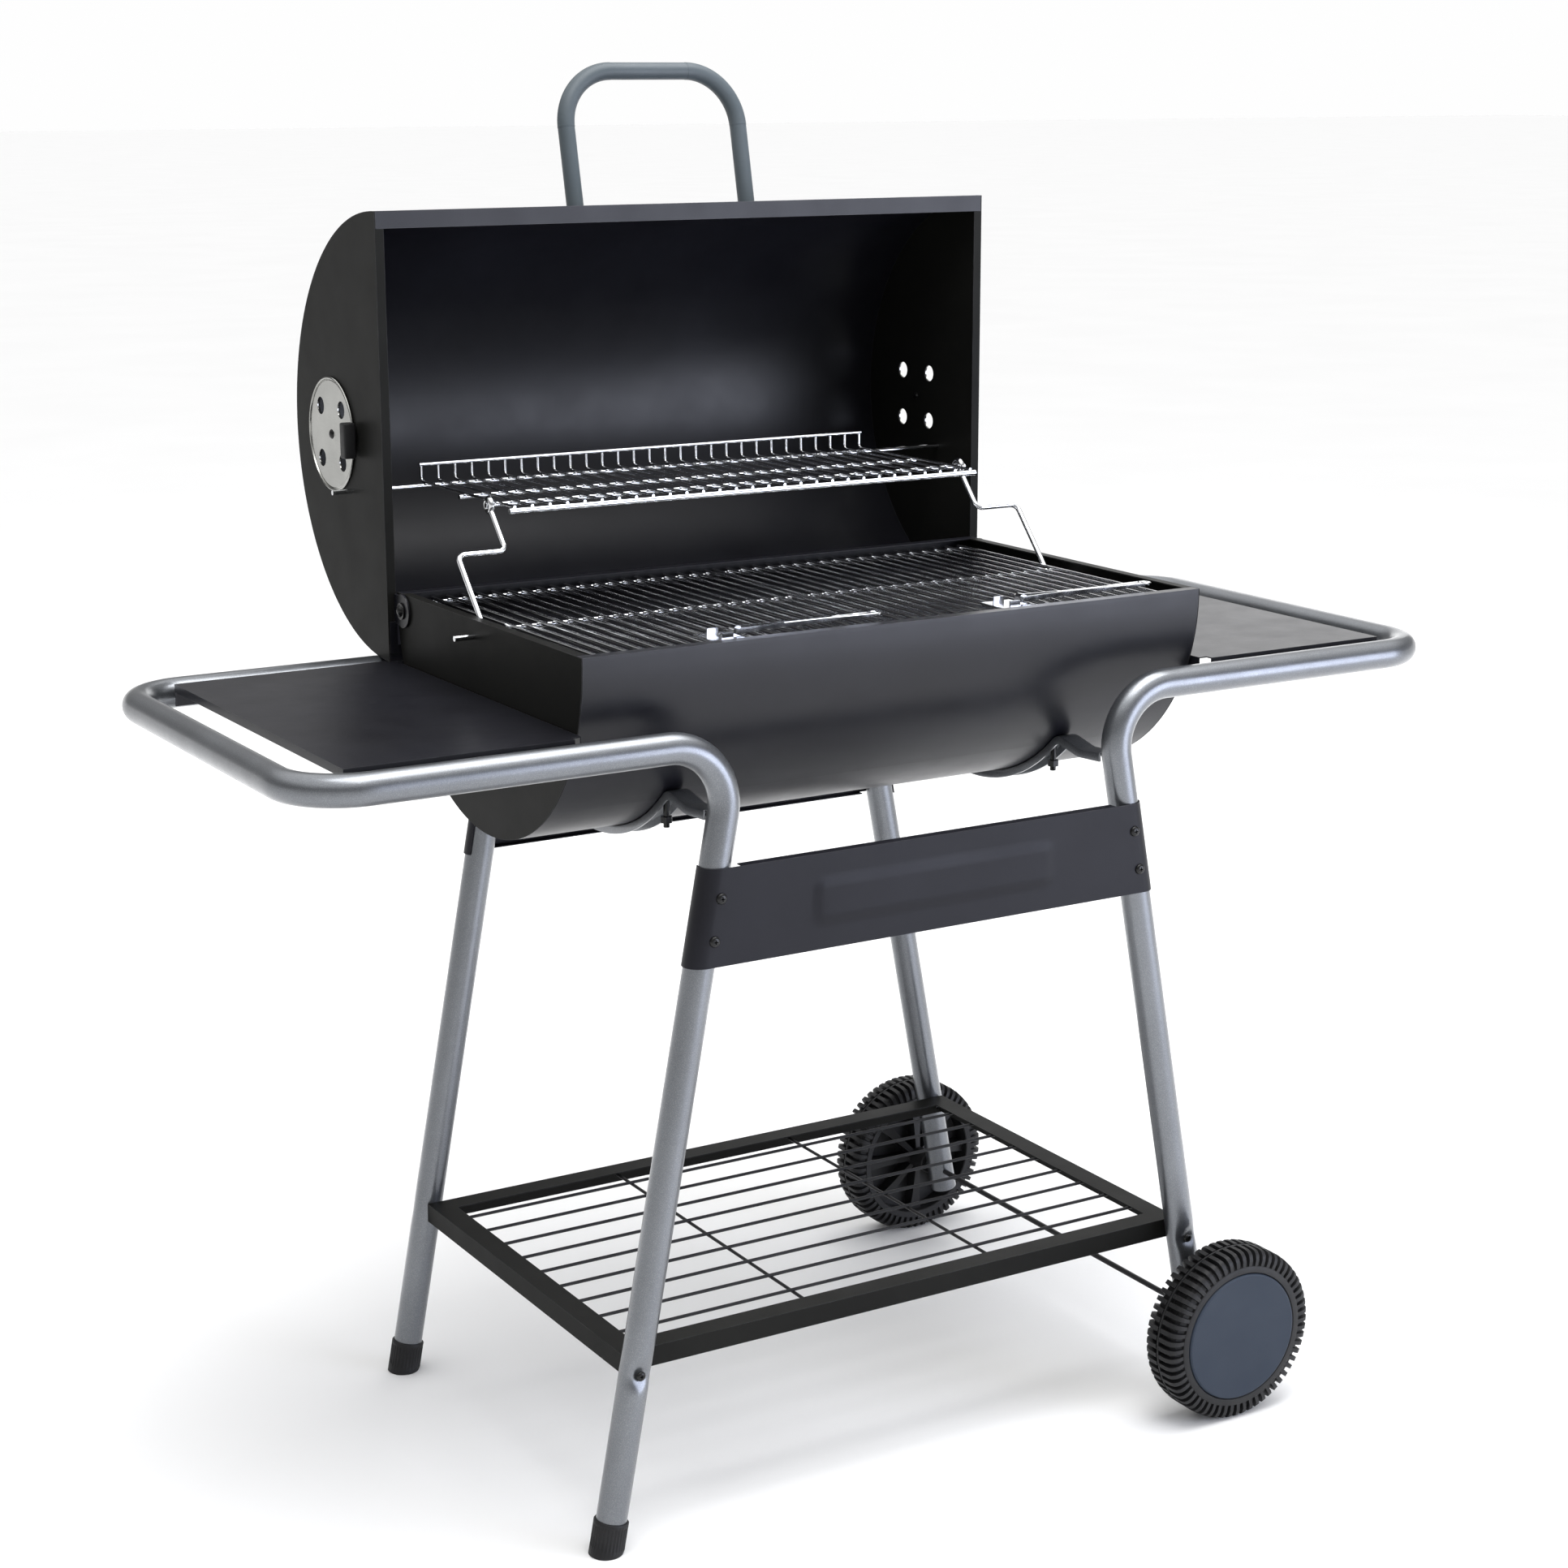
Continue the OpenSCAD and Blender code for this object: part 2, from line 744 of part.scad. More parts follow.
module charcoal_grate() {
  pitch = 2 * (coal_x - 12) / (coal_wires_n - 1);
  color(silver) stand() union() {
    for (i = [0 : coal_wires_n - 1])
      rod_y((i - (coal_wires_n - 1) / 2) * pitch, -coal_y, coal_y, coal_z, coal_wire_d);
    for (y = coal_rod_y)
      rod_x(-coal_x, coal_x, y, coal_z + coal_wire_d - weld, coal_wire_d);
  }
}

module hinge_bolts() {
  head = ear_x + ear_t + 0.4;
  color(plain_black) stand() for (side = SIDES) flip(side) union() {
    rod_x(barrel_x - 16, head + 0.1, hinge_y, hinge_z, bolt_d);
    difference() {
      rod_x(head, head + hinge_washer[1], hinge_y, hinge_z, hinge_washer[0]);
      rod_x(head - 1, head + hinge_washer[1] + 1, hinge_y, hinge_z, bolt_d - 1);
    }
    translate([head + hinge_washer[1], hinge_y, hinge_z]) rotate([0, 90, 0])
      dome_head(bolt_head[0], bolt_head[1]);
    rod_x(head, head + hinge_washer[1] + 0.1, hinge_y, hinge_z, bolt_d);
  }
}

module hinge_nuts() {
  color(plain_black) stand() for (side = SIDES) flip(side)
    translate([end_skin - 0.3, hinge_y, hinge_z]) rotate([0, -90, 0]) difference() {
      cylinder(h = hinge_nut[1], d = hinge_nut[0], $fn = 6);
      translate([0, 0, -1]) cylinder(h = hinge_nut[1] + 2, d = bolt_d + 2 * fit);
    }
}

// ---------------------------------------------------------------- cooking grates

module cooking_grate() {
  pitch = (grate_x1 - grate_x0 - grate_wire_d) / (grate_wires_n - 1);
  union() {
    for (i = [0 : grate_wires_n - 1])
      rod_y(grate_x0 + grate_wire_d / 2 + i * pitch, -grate_y, grate_y, grate_wire_z,
        grate_wire_d);
    for (y = grate_rod_y) rod_x(grate_x0, grate_x1, y, grate_rod_z, grate_rod_d);
  }
}

module left_cooking_grate() {
  color(chrome) stand() flip(-1) cooking_grate();
}

module right_cooking_grate() {
  color(chrome) stand() cooking_grate();
}

// Plate on the wires with a rolled sleeve that holds the handle's pin
module handle_bracket(pivot_x) {
  top = grate_wire_z + grate_wire_d / 2;
  sleeve_half = handle_w / 2 - 4;
  difference() {
    union() {
      translate([pivot_x - bracket_l, handle_y - bracket_w / 2, top + 0.1])
        cube([bracket_l, bracket_w, bracket_t]);
      rod_y(pivot_x, handle_y - sleeve_half, handle_y + sleeve_half, handle_pin_z, sleeve_d);
      translate([pivot_x - sleeve_d / 2, handle_y - sleeve_half, top + 0.5])
        cube([sleeve_d, 2 * sleeve_half, handle_pin_z - top - 0.5]);
      for (face = SIDES)
        translate([pivot_x - bracket_l / 2 - bracket_tab.x / 2,
          handle_y + face * bracket_tab_y - bracket_tab.y / 2, top + 1])
          cube(bracket_tab);
    }
    rod_y(pivot_x, handle_y - bracket_w, handle_y + bracket_w, handle_pin_z,
      handle_pin_d + 2 * fit);
  }
}

module left_handle_bracket() {
  color(chrome) stand() handle_bracket(handle_pivot[0]);
}

module right_handle_bracket() {
  color(chrome) stand() handle_bracket(handle_pivot[1]);
}

// Long narrow bail on the sleeve, folded down towards +X
module grate_handle(pivot_x) {
  arm_t = 2;
  arm_y = handle_w / 2 - 2.5;
  low = handle_pin_z - handle_bar_h / 2;
  fork_end = pivot_x + handle_l * handle_fork;
  tip_x = pivot_x + handle_l - handle_end_r;
  difference() {
    union() {
      rod_y(pivot_x, handle_y - handle_w / 2, handle_y + handle_w / 2, handle_pin_z,
        handle_pin_d);
      for (face = SIDES) translate([pivot_x - 3, handle_y + face * arm_y - arm_t / 2, low])
        cube([fork_end - pivot_x + 3, arm_t, handle_bar_h]);
      translate([fork_end - 6, handle_y - arm_y - arm_t / 2, low])
        cube([tip_x - fork_end + 6, 2 * arm_y + arm_t, handle_bar_h]);
      translate([tip_x, handle_y, low]) cylinder(h = handle_bar_h, r = handle_end_r);
    }
    translate([tip_x, handle_y, low - 1]) cylinder(h = handle_bar_h + 2, d = handle_hole_d);
  }
}

module left_grate_handle() {
  color(chrome) stand() grate_handle(handle_pivot[0]);
}

module right_grate_handle() {
  color(chrome) stand() grate_handle(handle_pivot[1]);
}

// ---------------------------------------------------------------- warming rack

module warming_rack() {
  half = (rack_wires_n - 1) / 2 * rack_pitch;
  top_z = rack_wire_z + rack_turn_up;
  rail_x = half + rack_rod_over;
  d_end = rack_leg_top_x + 6;
  color(chrome) stand() union() {
    for (i = [0 : rack_wires_n - 1]) {
      x = rack_shift - half + i * rack_pitch;
      bent([[x, rack_front_y, rack_wire_z], [x, rack_back_y, rack_wire_z],
        [x, rack_back_y, top_z]], [rack_wire_turn], rack_wire_d);
    }
    rod_x(-rack_pin_left, lid_x + 5, rack_b_y, rack_z, rack_rod_d);
    rod_x(rack_shift - rail_x, rack_shift + rail_x, rack_mid_y, rack_z, rack_rod_d);
    rod_x(leg_shift / 2 - d_end, leg_shift / 2 + d_end, rack_d_y, rack_z, rack_rod_d);
    rod_x(rack_shift - rail_x, rack_shift + rail_x, rack_front_y, rack_z - 0.4, rack_rail_d);
    rod_x(rack_shift - rail_x + 4, rack_shift + rail_x - 4, rack_back_y,
      top_z + (rack_wire_d + rack_top_d) / 2 - 2, rack_top_d);
  }
}

// Wire leg: pin through the barrel's end, lower stretch, jog, upper stretch and eye
module rack_leg(side) {
  low_x = leg_shift + side * rack_leg_low_x;
  top_x = leg_shift + side * rack_leg_top_x;
  up = unit([0, link_back, link_up]);
  foot = [low_x, leg_pivot_y, hinge_z];
  span = norm([link_back, link_up]);
  jog = foot + up * span * rack_leg_jog;
  eye_r = rack_rod_d / 2 + eye_play + eye_wire_d / 2;
  eye = [top_x, rack_d_y, rack_z];
  color(chrome) stand() union() {
    bent([
      [leg_shift + side * rack_pin_out, leg_pivot_y, hinge_z],
      foot,
      jog,
      [top_x, jog.y, jog.z],
      eye - up * eye_r
    ], rack_leg_bends, rack_leg_d);
    translate(eye) rotate([0, 90, 0]) rotate_extrude() translate([eye_r, 0])
      circle(d = eye_wire_d);
  }
}

module left_rack_leg() {
  rack_leg(-1);
}

module right_rack_leg() {
  rack_leg(1);
}

// ---------------------------------------------------------------- lid, drawn closed and then opened

module lid_outline(r) {
  translate([closed_y, closed_z]) intersection() {
    circle(r = r, $fn = 128);
    translate([-far / 2, 0]) square([far, far]);
  }
}

module handle_foot(side) {
  translate([side * handle_half, open_y + lid_r * sin(handle_seat), open_z + lid_r * cos(handle_seat)])
    rotate([-handle_lean, 0, 0]) children();
}

module lid_wrap() {
  color(satin_black) stand() difference() {
    opened() union() {
      along_x(-lid_skin, lid_skin) difference() {
        lid_outline(lid_r);
        translate([0, -0.02]) lid_outline(lid_r - sheet);
      }
      for (y = [closed_y - lid_r + sheet / 2, closed_y + lid_r - lid_flange])
        translate([-lid_skin, y, closed_z])
          cube([2 * lid_skin, lid_flange - sheet / 2, sheet]);
    }
    for (side = SIDES) handle_foot(side) translate([0, 0, -20])
      cylinder(h = 40, d = lid_screw_d + 2 * fit);
  }
}

module lid_end() {
  inner = ear_x;
  difference() {
    opened() union() {
      along_x(lid_skin, lid_x) lid_outline(lid_r);
      translate([inner, closed_y - lid_r + lid_flange + 0.3, closed_z])
        cube([lid_x - inner - sheet / 2, 2 * (lid_r - lid_flange - 0.3), sheet]);
    }
    rod_x(lid_skin - 5, lid_x + 5, rack_b_y, rack_z, rack_rod_d + 2 * fit);
    rod_x(lid_skin - 5, lid_x + 5, damper_y, damper_z, rivet_d + 2 * fit);
    vents(lid_skin - 5, lid_x + 5);
  }
}

module vents(x0, x1) {
  for (sy = SIDES) for (sz = SIDES)
    rod_x(x0, x1, damper_y + sy * vent_off, damper_z + sz * vent_off, vent_d);
}

module lid_left_end() {
  color(satin_black) stand() flip(-1) lid_end();
}

module lid_right_end() {
  color(satin_black) stand() lid_end();
}

// Plate on the lid's end flange that turns on the hinge bolt
module hinge_ear() {
  plate_low = hinge_z - ear_r + 2;
  difference() {
    union() {
      rod_x(ear_x, ear_x + ear_t, hinge_y, hinge_z, 2 * ear_r);
      translate([ear_x, hinge_y, plate_low]) cube([ear_t, open_y - hinge_y, 2 * ear_r - 4]);
      translate([ear_x, open_y - ear_strip.y, plate_low + 2 - ear_strip.z]) cube(ear_strip);
    }
    rod_x(ear_x - 5, ear_x + 15, hinge_y, hinge_z, bolt_d + 2 * fit);
  }
}

module left_hinge_ear() {
  color(satin_black) stand() flip(-1) hinge_ear();
}

module right_hinge_ear() {
  color(satin_black) stand() hinge_ear();
}

module lid_handle() {
  top = handle_rise;
  color(slate) stand() difference() {
    handle_foot(0) bent([
      [-handle_half, 0, -4],
      [-handle_half, 0, top],
      [handle_half, 0, top],
      [handle_half, 0, -4]
    ], [handle_bend, handle_bend], handle_tube_d, handle_tube_d - 2 * handle_tube_wall);
    rod_x(-lid_x, lid_x, open_y, open_z, 2 * lid_r + 0.2);
  }
}

module lid_handle_screws() {
  seat = lid_r * (1 - cos(handle_seat - handle_lean)) + sheet + 2.2;
  color(plain_black) stand() for (side = SIDES) handle_foot(side) union() {
    translate([0, 0, -seat]) rotate([180, 0, 0])
      dome_head(lid_screw_head[0], lid_screw_head[1]);
    translate([0, 0, -seat]) cylinder(h = seat + 14, d = lid_screw_d);
  }
}

// ---------------------------------------------------------------- dampers

module damper() {
  x0 = lid_x + damper_gap;
  difference() {
    union() {
      rod_x(x0, x0 + damper_t, damper_y, damper_z, 2 * damper_r);
      difference() {
        rod_x(x0, x0 + damper_rim[1], damper_y, damper_z, 2 * damper_r);
        rod_x(x0 - 1, x0 + damper_rim[1] + 1, damper_y, damper_z, 2 * (damper_r - damper_rim[0]));
      }
    }
    vents(x0 - 1, x0 + 5);
    rod_x(x0 - 1, x0 + 5, damper_y, damper_z, rivet_d + 2 * fit);
  }
}

module left_damper() {
  color(chrome) stand() flip(-1) damper();
}

module right_damper() {
  color(chrome) stand() damper();
}

module damper_knob() {
  x0 = lid_x + damper_gap + damper_rim[1] + 0.2;
  translate([x0, knob_y - knob_size.y / 2, damper_z - knob_size.z / 2])
    cube(knob_size);
}

module left_damper_knob() {
  color(plain_black) stand() flip(-1) damper_knob();
}

module right_damper_knob() {
  color(plain_black) stand() damper_knob();
}

module damper_rivets() {
  seat = lid_x + damper_gap + damper_t + 0.2;
  color(chrome) stand() for (side = SIDES) flip(side) union() {
    rod_x(lid_skin - 1, seat + 0.1, damper_y, damper_z, rivet_d);
    translate([seat, damper_y, damper_z]) rotate([0, 90, 0]) dome_head(rivet_head[0], rivet_head[1]);
    translate([lid_skin - 0.2, damper_y, damper_z]) rotate([0, -90, 0])
      dome_head(rivet_head[0], rivet_head[1]);
  }
}

left_frame_tube();
right_frame_tube();
front_panel();
back_panel();
panel_screws();
left_saddle();
right_saddle();
saddle_bolts();
saddle_nuts();
left_side_table();
right_side_table();
table_screws();
shelf_frame();
shelf_wires();
shelf_screws();
foot_cap(-1);  // front_foot_cap
foot_cap(1);  // back_foot_cap
axle();
axle_washers();
axle_push_nuts();
front_wheel();
back_wheel();
front_wheel_cap();
back_wheel_cap();
barrel_wrap();
barrel_left_end();
barrel_right_end();
front_grate_ledge();
back_grate_ledge();
charcoal_grate();
hinge_bolts();
hinge_nuts();
left_cooking_grate();
right_cooking_grate();
left_handle_bracket();
right_handle_bracket();
left_grate_handle();
right_grate_handle();
warming_rack();
left_rack_leg();
right_rack_leg();
lid_wrap();
lid_left_end();
lid_right_end();
left_hinge_ear();
right_hinge_ear();
lid_handle();
lid_handle_screws();
left_damper();
right_damper();
left_damper_knob();
right_damper_knob();
damper_rivets();
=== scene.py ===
import json
import math

import bmesh
import bpy
from mathutils import Matrix, Vector


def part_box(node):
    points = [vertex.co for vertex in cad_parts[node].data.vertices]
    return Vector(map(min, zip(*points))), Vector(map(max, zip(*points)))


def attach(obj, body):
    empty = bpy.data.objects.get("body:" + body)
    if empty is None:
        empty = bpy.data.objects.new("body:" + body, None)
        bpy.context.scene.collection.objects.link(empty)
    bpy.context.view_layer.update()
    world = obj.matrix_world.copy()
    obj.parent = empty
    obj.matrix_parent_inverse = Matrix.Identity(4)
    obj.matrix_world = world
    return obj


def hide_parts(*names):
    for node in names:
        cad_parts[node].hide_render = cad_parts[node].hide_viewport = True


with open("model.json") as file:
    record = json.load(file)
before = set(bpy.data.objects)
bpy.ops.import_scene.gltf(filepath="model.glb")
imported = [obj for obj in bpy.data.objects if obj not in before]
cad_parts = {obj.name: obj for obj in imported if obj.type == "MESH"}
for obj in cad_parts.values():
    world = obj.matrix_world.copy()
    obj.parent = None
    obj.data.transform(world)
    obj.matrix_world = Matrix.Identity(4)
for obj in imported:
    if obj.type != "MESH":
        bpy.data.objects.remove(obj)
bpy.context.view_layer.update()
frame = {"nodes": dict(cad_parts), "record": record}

MM = 0.001
TAU = 2 * math.pi
SIDES = (-1, 1)


def centre(node):
    """Middle of a CAD node's box."""
    low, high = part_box(node)
    return (low + high) / 2


# Places and sizes that several pieces share, read from the frame or named once here
BARREL_Y = centre("barrel_wrap").y  # middle plane of the grill, halfway between front and back
TUBE_R = 15 * MM
LEAN = math.radians(10.7)  # lean of the legs
FOOT_X = 358.3 * MM  # leg's centre line at the floor, from the middle
LOOP_Y = 237 * MM  # leg's centre line from the middle plane
CAP_FLOOR = 7 * MM  # inside floor of a foot cap, where the left tube starts
WHEEL_R = (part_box("front_wheel")[1].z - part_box("front_wheel")[0].z) / 2


def leg_x(z):
    """Distance of a leg's centre line from the middle at height z."""
    return FOOT_X - z * math.tan(LEAN)


# ------------------------------------------------------------------ materials
# Noise scales are per metre, bump distances are metres and colours are linear.


class Look:
    """A Principled material under construction, with short calls for its texture nodes."""

    def __init__(self, name, rough, metallic=0.0, **sockets):
        self.mat = bpy.data.materials.new(name)
        self.mat.use_nodes = True
        self.tree = self.mat.node_tree
        self.shader = self.tree.nodes["Principled BSDF"]
        self.shader.inputs["Roughness"].default_value = rough
        self.shader.inputs["Metallic"].default_value = metallic
        for socket, value in sockets.items():
            self.shader.inputs[socket.replace("_", " ")].default_value = value
        self.coords = self.tree.nodes.new("ShaderNodeTexCoord").outputs["Object"]

    def node(self, kind, inputs=None, **fields):
        """Adds a node; an input is either a value or a socket to link to."""
        made = self.tree.nodes.new(kind)
        for field, value in fields.items():
            setattr(made, field, value)
        for socket, value in (inputs or {}).items():
            if isinstance(value, bpy.types.NodeSocket):
                self.tree.links.new(value, made.inputs[socket])
            else:
                made.inputs[socket].default_value = value
        return made

    def stretched(self, scale):
        """Object coordinates with a scale of their own on each axis."""
        return self.node("ShaderNodeMapping", {"Vector": self.coords, "Scale": scale}).outputs["Vector"]

    def noise(self, scale, detail=4.0, rough=0.55, vector=None):
        return self.node(
            "ShaderNodeTexNoise",
            {"Vector": vector or self.coords, "Scale": scale, "Detail": detail, "Roughness": rough},
        ).outputs["Fac"]

    def spread(self, value, low, high, start=0.3, end=0.7):
        """Maps value from start..end to low..high."""
        return self.node(
            "ShaderNodeMapRange",
            {"Value": value, "From Min": start, "From Max": end, "To Min": low, "To Max": high},
        ).outputs["Result"]

    def edges(self, radius):
        """1 on sharp edges and 0 on flat faces."""
        soft = self.node("ShaderNodeBevel", {"Radius": radius}, samples=4).outputs["Normal"]
        hard = self.node("ShaderNodeNewGeometry").outputs["Normal"]
        dot = self.node(
            "ShaderNodeVectorMath", {0: soft, 1: hard}, operation="DOT_PRODUCT"
        ).outputs["Value"]
        turn = self.node("ShaderNodeMath", {0: 1.0, 1: dot}, operation="SUBTRACT").outputs["Value"]
        faint, full = 0.02, 0.25
        return self.spread(turn, 0.0, 1.0, faint, full)

    def times(self, a, b):
        return self.node("ShaderNodeMath", {0: a, 1: b}, operation="MULTIPLY").outputs["Value"]

    def blend(self, factor, a, b):
        """Mixes two colours, each a value or a socket; 6, 7 and 2 are the node's colour sockets."""
        made = self.node("ShaderNodeMix", data_type="RGBA")
        self.tree.links.new(factor, made.inputs["Factor"])
        for slot, value in ((6, a), (7, b)):
            if isinstance(value, bpy.types.NodeSocket):
                self.tree.links.new(value, made.inputs[slot])
            else:
                made.inputs[slot].default_value = (*value, 1.0)
        return made.outputs[2]

    def colour(self, socket):
        self.tree.links.new(socket, self.shader.inputs["Base Color"])
        return self

    def rough(self, socket):
        self.tree.links.new(socket, self.shader.inputs["Roughness"])
        return self

    def bump(self, *layers):
        """Adds (height, distance) bump layers on top of each other."""
        normal = None
        for height, distance in layers:
            made = self.node("ShaderNodeBump", {"Height": height, "Distance": distance, "Strength": 1.0})
            if normal is not None:
                self.tree.links.new(normal, made.inputs["Normal"])
            normal = made.outputs["Normal"]
        self.tree.links.new(normal, self.shader.inputs["Normal"])
        return self


def enamel_look(name, specular, rough, base_a, base_b):
    """Black stove enamel with a fine orange peel, faint clouding and lighter edges."""
    look = Look(name, rough, Specular_IOR_Level=specular)
    base = look.blend(look.spread(look.noise(7.0, 5.0), 0, 1), base_a, base_b)
    worn = look.times(look.edges(1.2 * MM), look.spread(look.noise(60.0, 6.0), 0.1, 0.9))
    look.colour(look.blend(worn, base, (0.06, 0.06, 0.065)))
    look.rough(look.spread(look.noise(22.0, 6.0), rough - 0.03, rough + 0.03))
    return look.bump((look.noise(850.0, 2.0), 0.04 * MM), (look.noise(160.0, 2.0), 0.012 * MM)).mat


def silver_look():
    """Silver-grey metallic paint on tube, with flake sparkle and a soft orange peel."""
    look = Look("silver_paint", 0.3, 0.85, Coat_Weight=0.7, Coat_Roughness=0.22)
    flake = look.noise(1600.0, 1.0)
    cloud = look.noise(9.0, 4.0)
    base = look.blend(look.spread(cloud, 0, 1), (0.12, 0.127, 0.139), (0.147, 0.156, 0.17))
    base = look.blend(look.spread(flake, 0, 0.35, 0.45, 0.75), base, (0.36, 0.38, 0.40))
    worn = look.times(look.edges(1.0 * MM), look.spread(look.noise(45.0, 5.0), 0.0, 0.6))
    look.colour(look.blend(worn, base, (0.2, 0.2, 0.21)))
    look.rough(look.spread(look.noise(30.0, 5.0), 0.29, 0.40))
    return look.bump((flake, 0.012 * MM), (look.noise(120.0, 2.0), 0.03 * MM)).mat


def slate_look(name, rough, base_a, base_b, grain_depth, specular=0.2):
    """Painted or moulded surface in two close tones, with a fine grain."""
    look = Look(name, rough, Specular_IOR_Level=specular)
    look.colour(look.blend(look.spread(look.noise(14.0, 5.0), 0, 1), base_a, base_b))
    look.rough(look.spread(look.noise(35.0, 5.0), rough - 0.05, rough + 0.07))
    return look.bump((look.noise(1100.0, 2.0), grain_depth), (look.noise(200.0, 2.0), 0.02 * MM)).mat


def plastic_look():
    """Black moulded plastic with a fine spark grain and dusty scuffs."""
    look = Look("black_plastic", 0.5, Specular_IOR_Level=0.3)
    scuff = look.times(look.edges(1.0 * MM), look.spread(look.noise(90.0, 6.0), 0, 1))
    cloud = look.spread(look.noise(18.0, 6.0), 0, 1)
    base = look.blend(cloud, (0.007, 0.007, 0.0078), (0.012, 0.012, 0.013))
    look.colour(look.blend(scuff, base, (0.045, 0.045, 0.047)))
    look.rough(look.spread(look.noise(40.0, 6.0), 0.44, 0.62))
    return look.bump((look.noise(1300.0, 2.0), 0.05 * MM)).mat


def dimmer(base, share):
    return tuple(c * share for c in base)


def chrome_look(name, low, high, base=(0.72, 0.73, 0.75)):
    """Bright plated wire with faint drawing marks and water spots."""
    look = Look(name, low, 1.0)
    spots = look.spread(look.noise(70.0, 6.0), 0, 1, 0.5, 0.8)
    look.colour(look.blend(spots, base, dimmer(base, 0.78)))
    look.rough(look.spread(look.noise(55.0, 5.0), low, high))
    return look.bump((look.noise(500.0, 2.0), 0.015 * MM)).mat


def brushed_look(name, base, low, high):
    """Rolled bright steel with fine straight brushing."""
    look = Look(name, low, 1.0)
    lines = look.noise(1.0, 3.0, vector=look.stretched((300.0, 60.0, 2600.0)))
    stain = look.noise(26.0, 6.0)
    look.colour(look.blend(look.spread(stain, 0, 1), base, dimmer(base, 0.8)))
    look.rough(look.spread(lines, low, high))
    return look.bump((lines, 0.02 * MM)).mat


def floor_look():
    """Almost white, with a very slow change of tone."""
    look = Look("pale_floor", 0.9)
    tone = look.noise(1.5, 3.0)
    look.colour(look.blend(look.spread(tone, 0, 1), (0.88, 0.88, 0.88), (0.90, 0.90, 0.90)))
    return look.mat


LOOKS = {
    "black_enamel": enamel_look(
        "black_enamel", 0.3, 0.34, (0.006, 0.006, 0.0085), (0.009, 0.0092, 0.0128)
    ),
    "silver_paint": silver_look(),
    "slate_paint": slate_look("slate_paint", 0.38, (0.065, 0.08, 0.09), (0.08, 0.095, 0.107), 0.02 * MM),
    "slate_plastic": slate_look(
        "slate_plastic", 0.5, (0.02, 0.028, 0.043), (0.025, 0.034, 0.05), 0.05 * MM
    ),
    "black_plastic": plastic_look(),
    "black_wire": slate_look("black_wire", 0.42, (0.012, 0.012, 0.013), (0.02, 0.02, 0.022), 0.03 * MM),
    "black_screws": slate_look(
        "black_screws", 0.26, (0.003, 0.003, 0.003), (0.006, 0.006, 0.006), 0.005 * MM, 0.3
    ),
    "zinc_steel": brushed_look("zinc_steel", (0.42, 0.42, 0.40), 0.14, 0.28),
    "chrome_wire": chrome_look("chrome_wire", 0.09, 0.2),
    "bare_wire": chrome_look("bare_wire", 0.3, 0.5, (0.4, 0.4, 0.4)),
}

# Darker copies of the black enamel, with less gloss and tones of their own: painted shade on the end
# plates, the shelf frame and the panels, which are the same paint as the barrel but get less light
SHADED_ENAMEL = enamel_look("shaded_enamel", 0.06, 0.46, (0.008, 0.008, 0.0075), (0.012, 0.012, 0.011))
SHADED_PANEL = enamel_look("shaded_panel_enamel", 0.15, 0.38, (0.0085, 0.0085, 0.0115), (0.012, 0.0122, 0.0165))
SHADED_NODES = ("lid_left_end", "lid_right_end", "barrel_left_end", "barrel_right_end", "shelf_frame")

for part in frame["record"]["subparts"]:
    mesh = frame["nodes"][part["node"]].data
    mesh.materials.clear()
    # The end plates and the shelf frame get the darker copy of the enamel: painted shade.
    mesh.materials.append(SHADED_ENAMEL if part["node"] in SHADED_NODES else LOOKS[part["material_slot"]])
frame["nodes"]["damper_rivets"].data.materials[0] = LOOKS["black_screws"]


# ------------------------------------------------------------------ mesh tools


WELD = 1e-6  # points closer than this are one point


def piece(name, verts, faces, slot, body, smooth):
    """Makes a mesh piece with sharp edges above smooth degrees, and lets it ride on a body."""
    mesh = bpy.data.meshes.new(name)
    mesh.from_pydata([tuple(v) for v in verts], [], faces)
    made = bpy.data.objects.new(name, mesh)
    bpy.context.scene.collection.objects.link(made)
    form = bmesh.new()
    form.from_mesh(mesh)
    bmesh.ops.remove_doubles(form, verts=form.verts, dist=WELD)
    bmesh.ops.recalc_face_normals(form, faces=form.faces)
    form.to_mesh(mesh)
    form.free()
    for polygon in mesh.polygons:
        polygon.use_smooth = True
    mesh.set_sharp_from_angle(angle=math.radians(smooth))
    mesh.materials.append(LOOKS[slot])
    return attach(made, body)


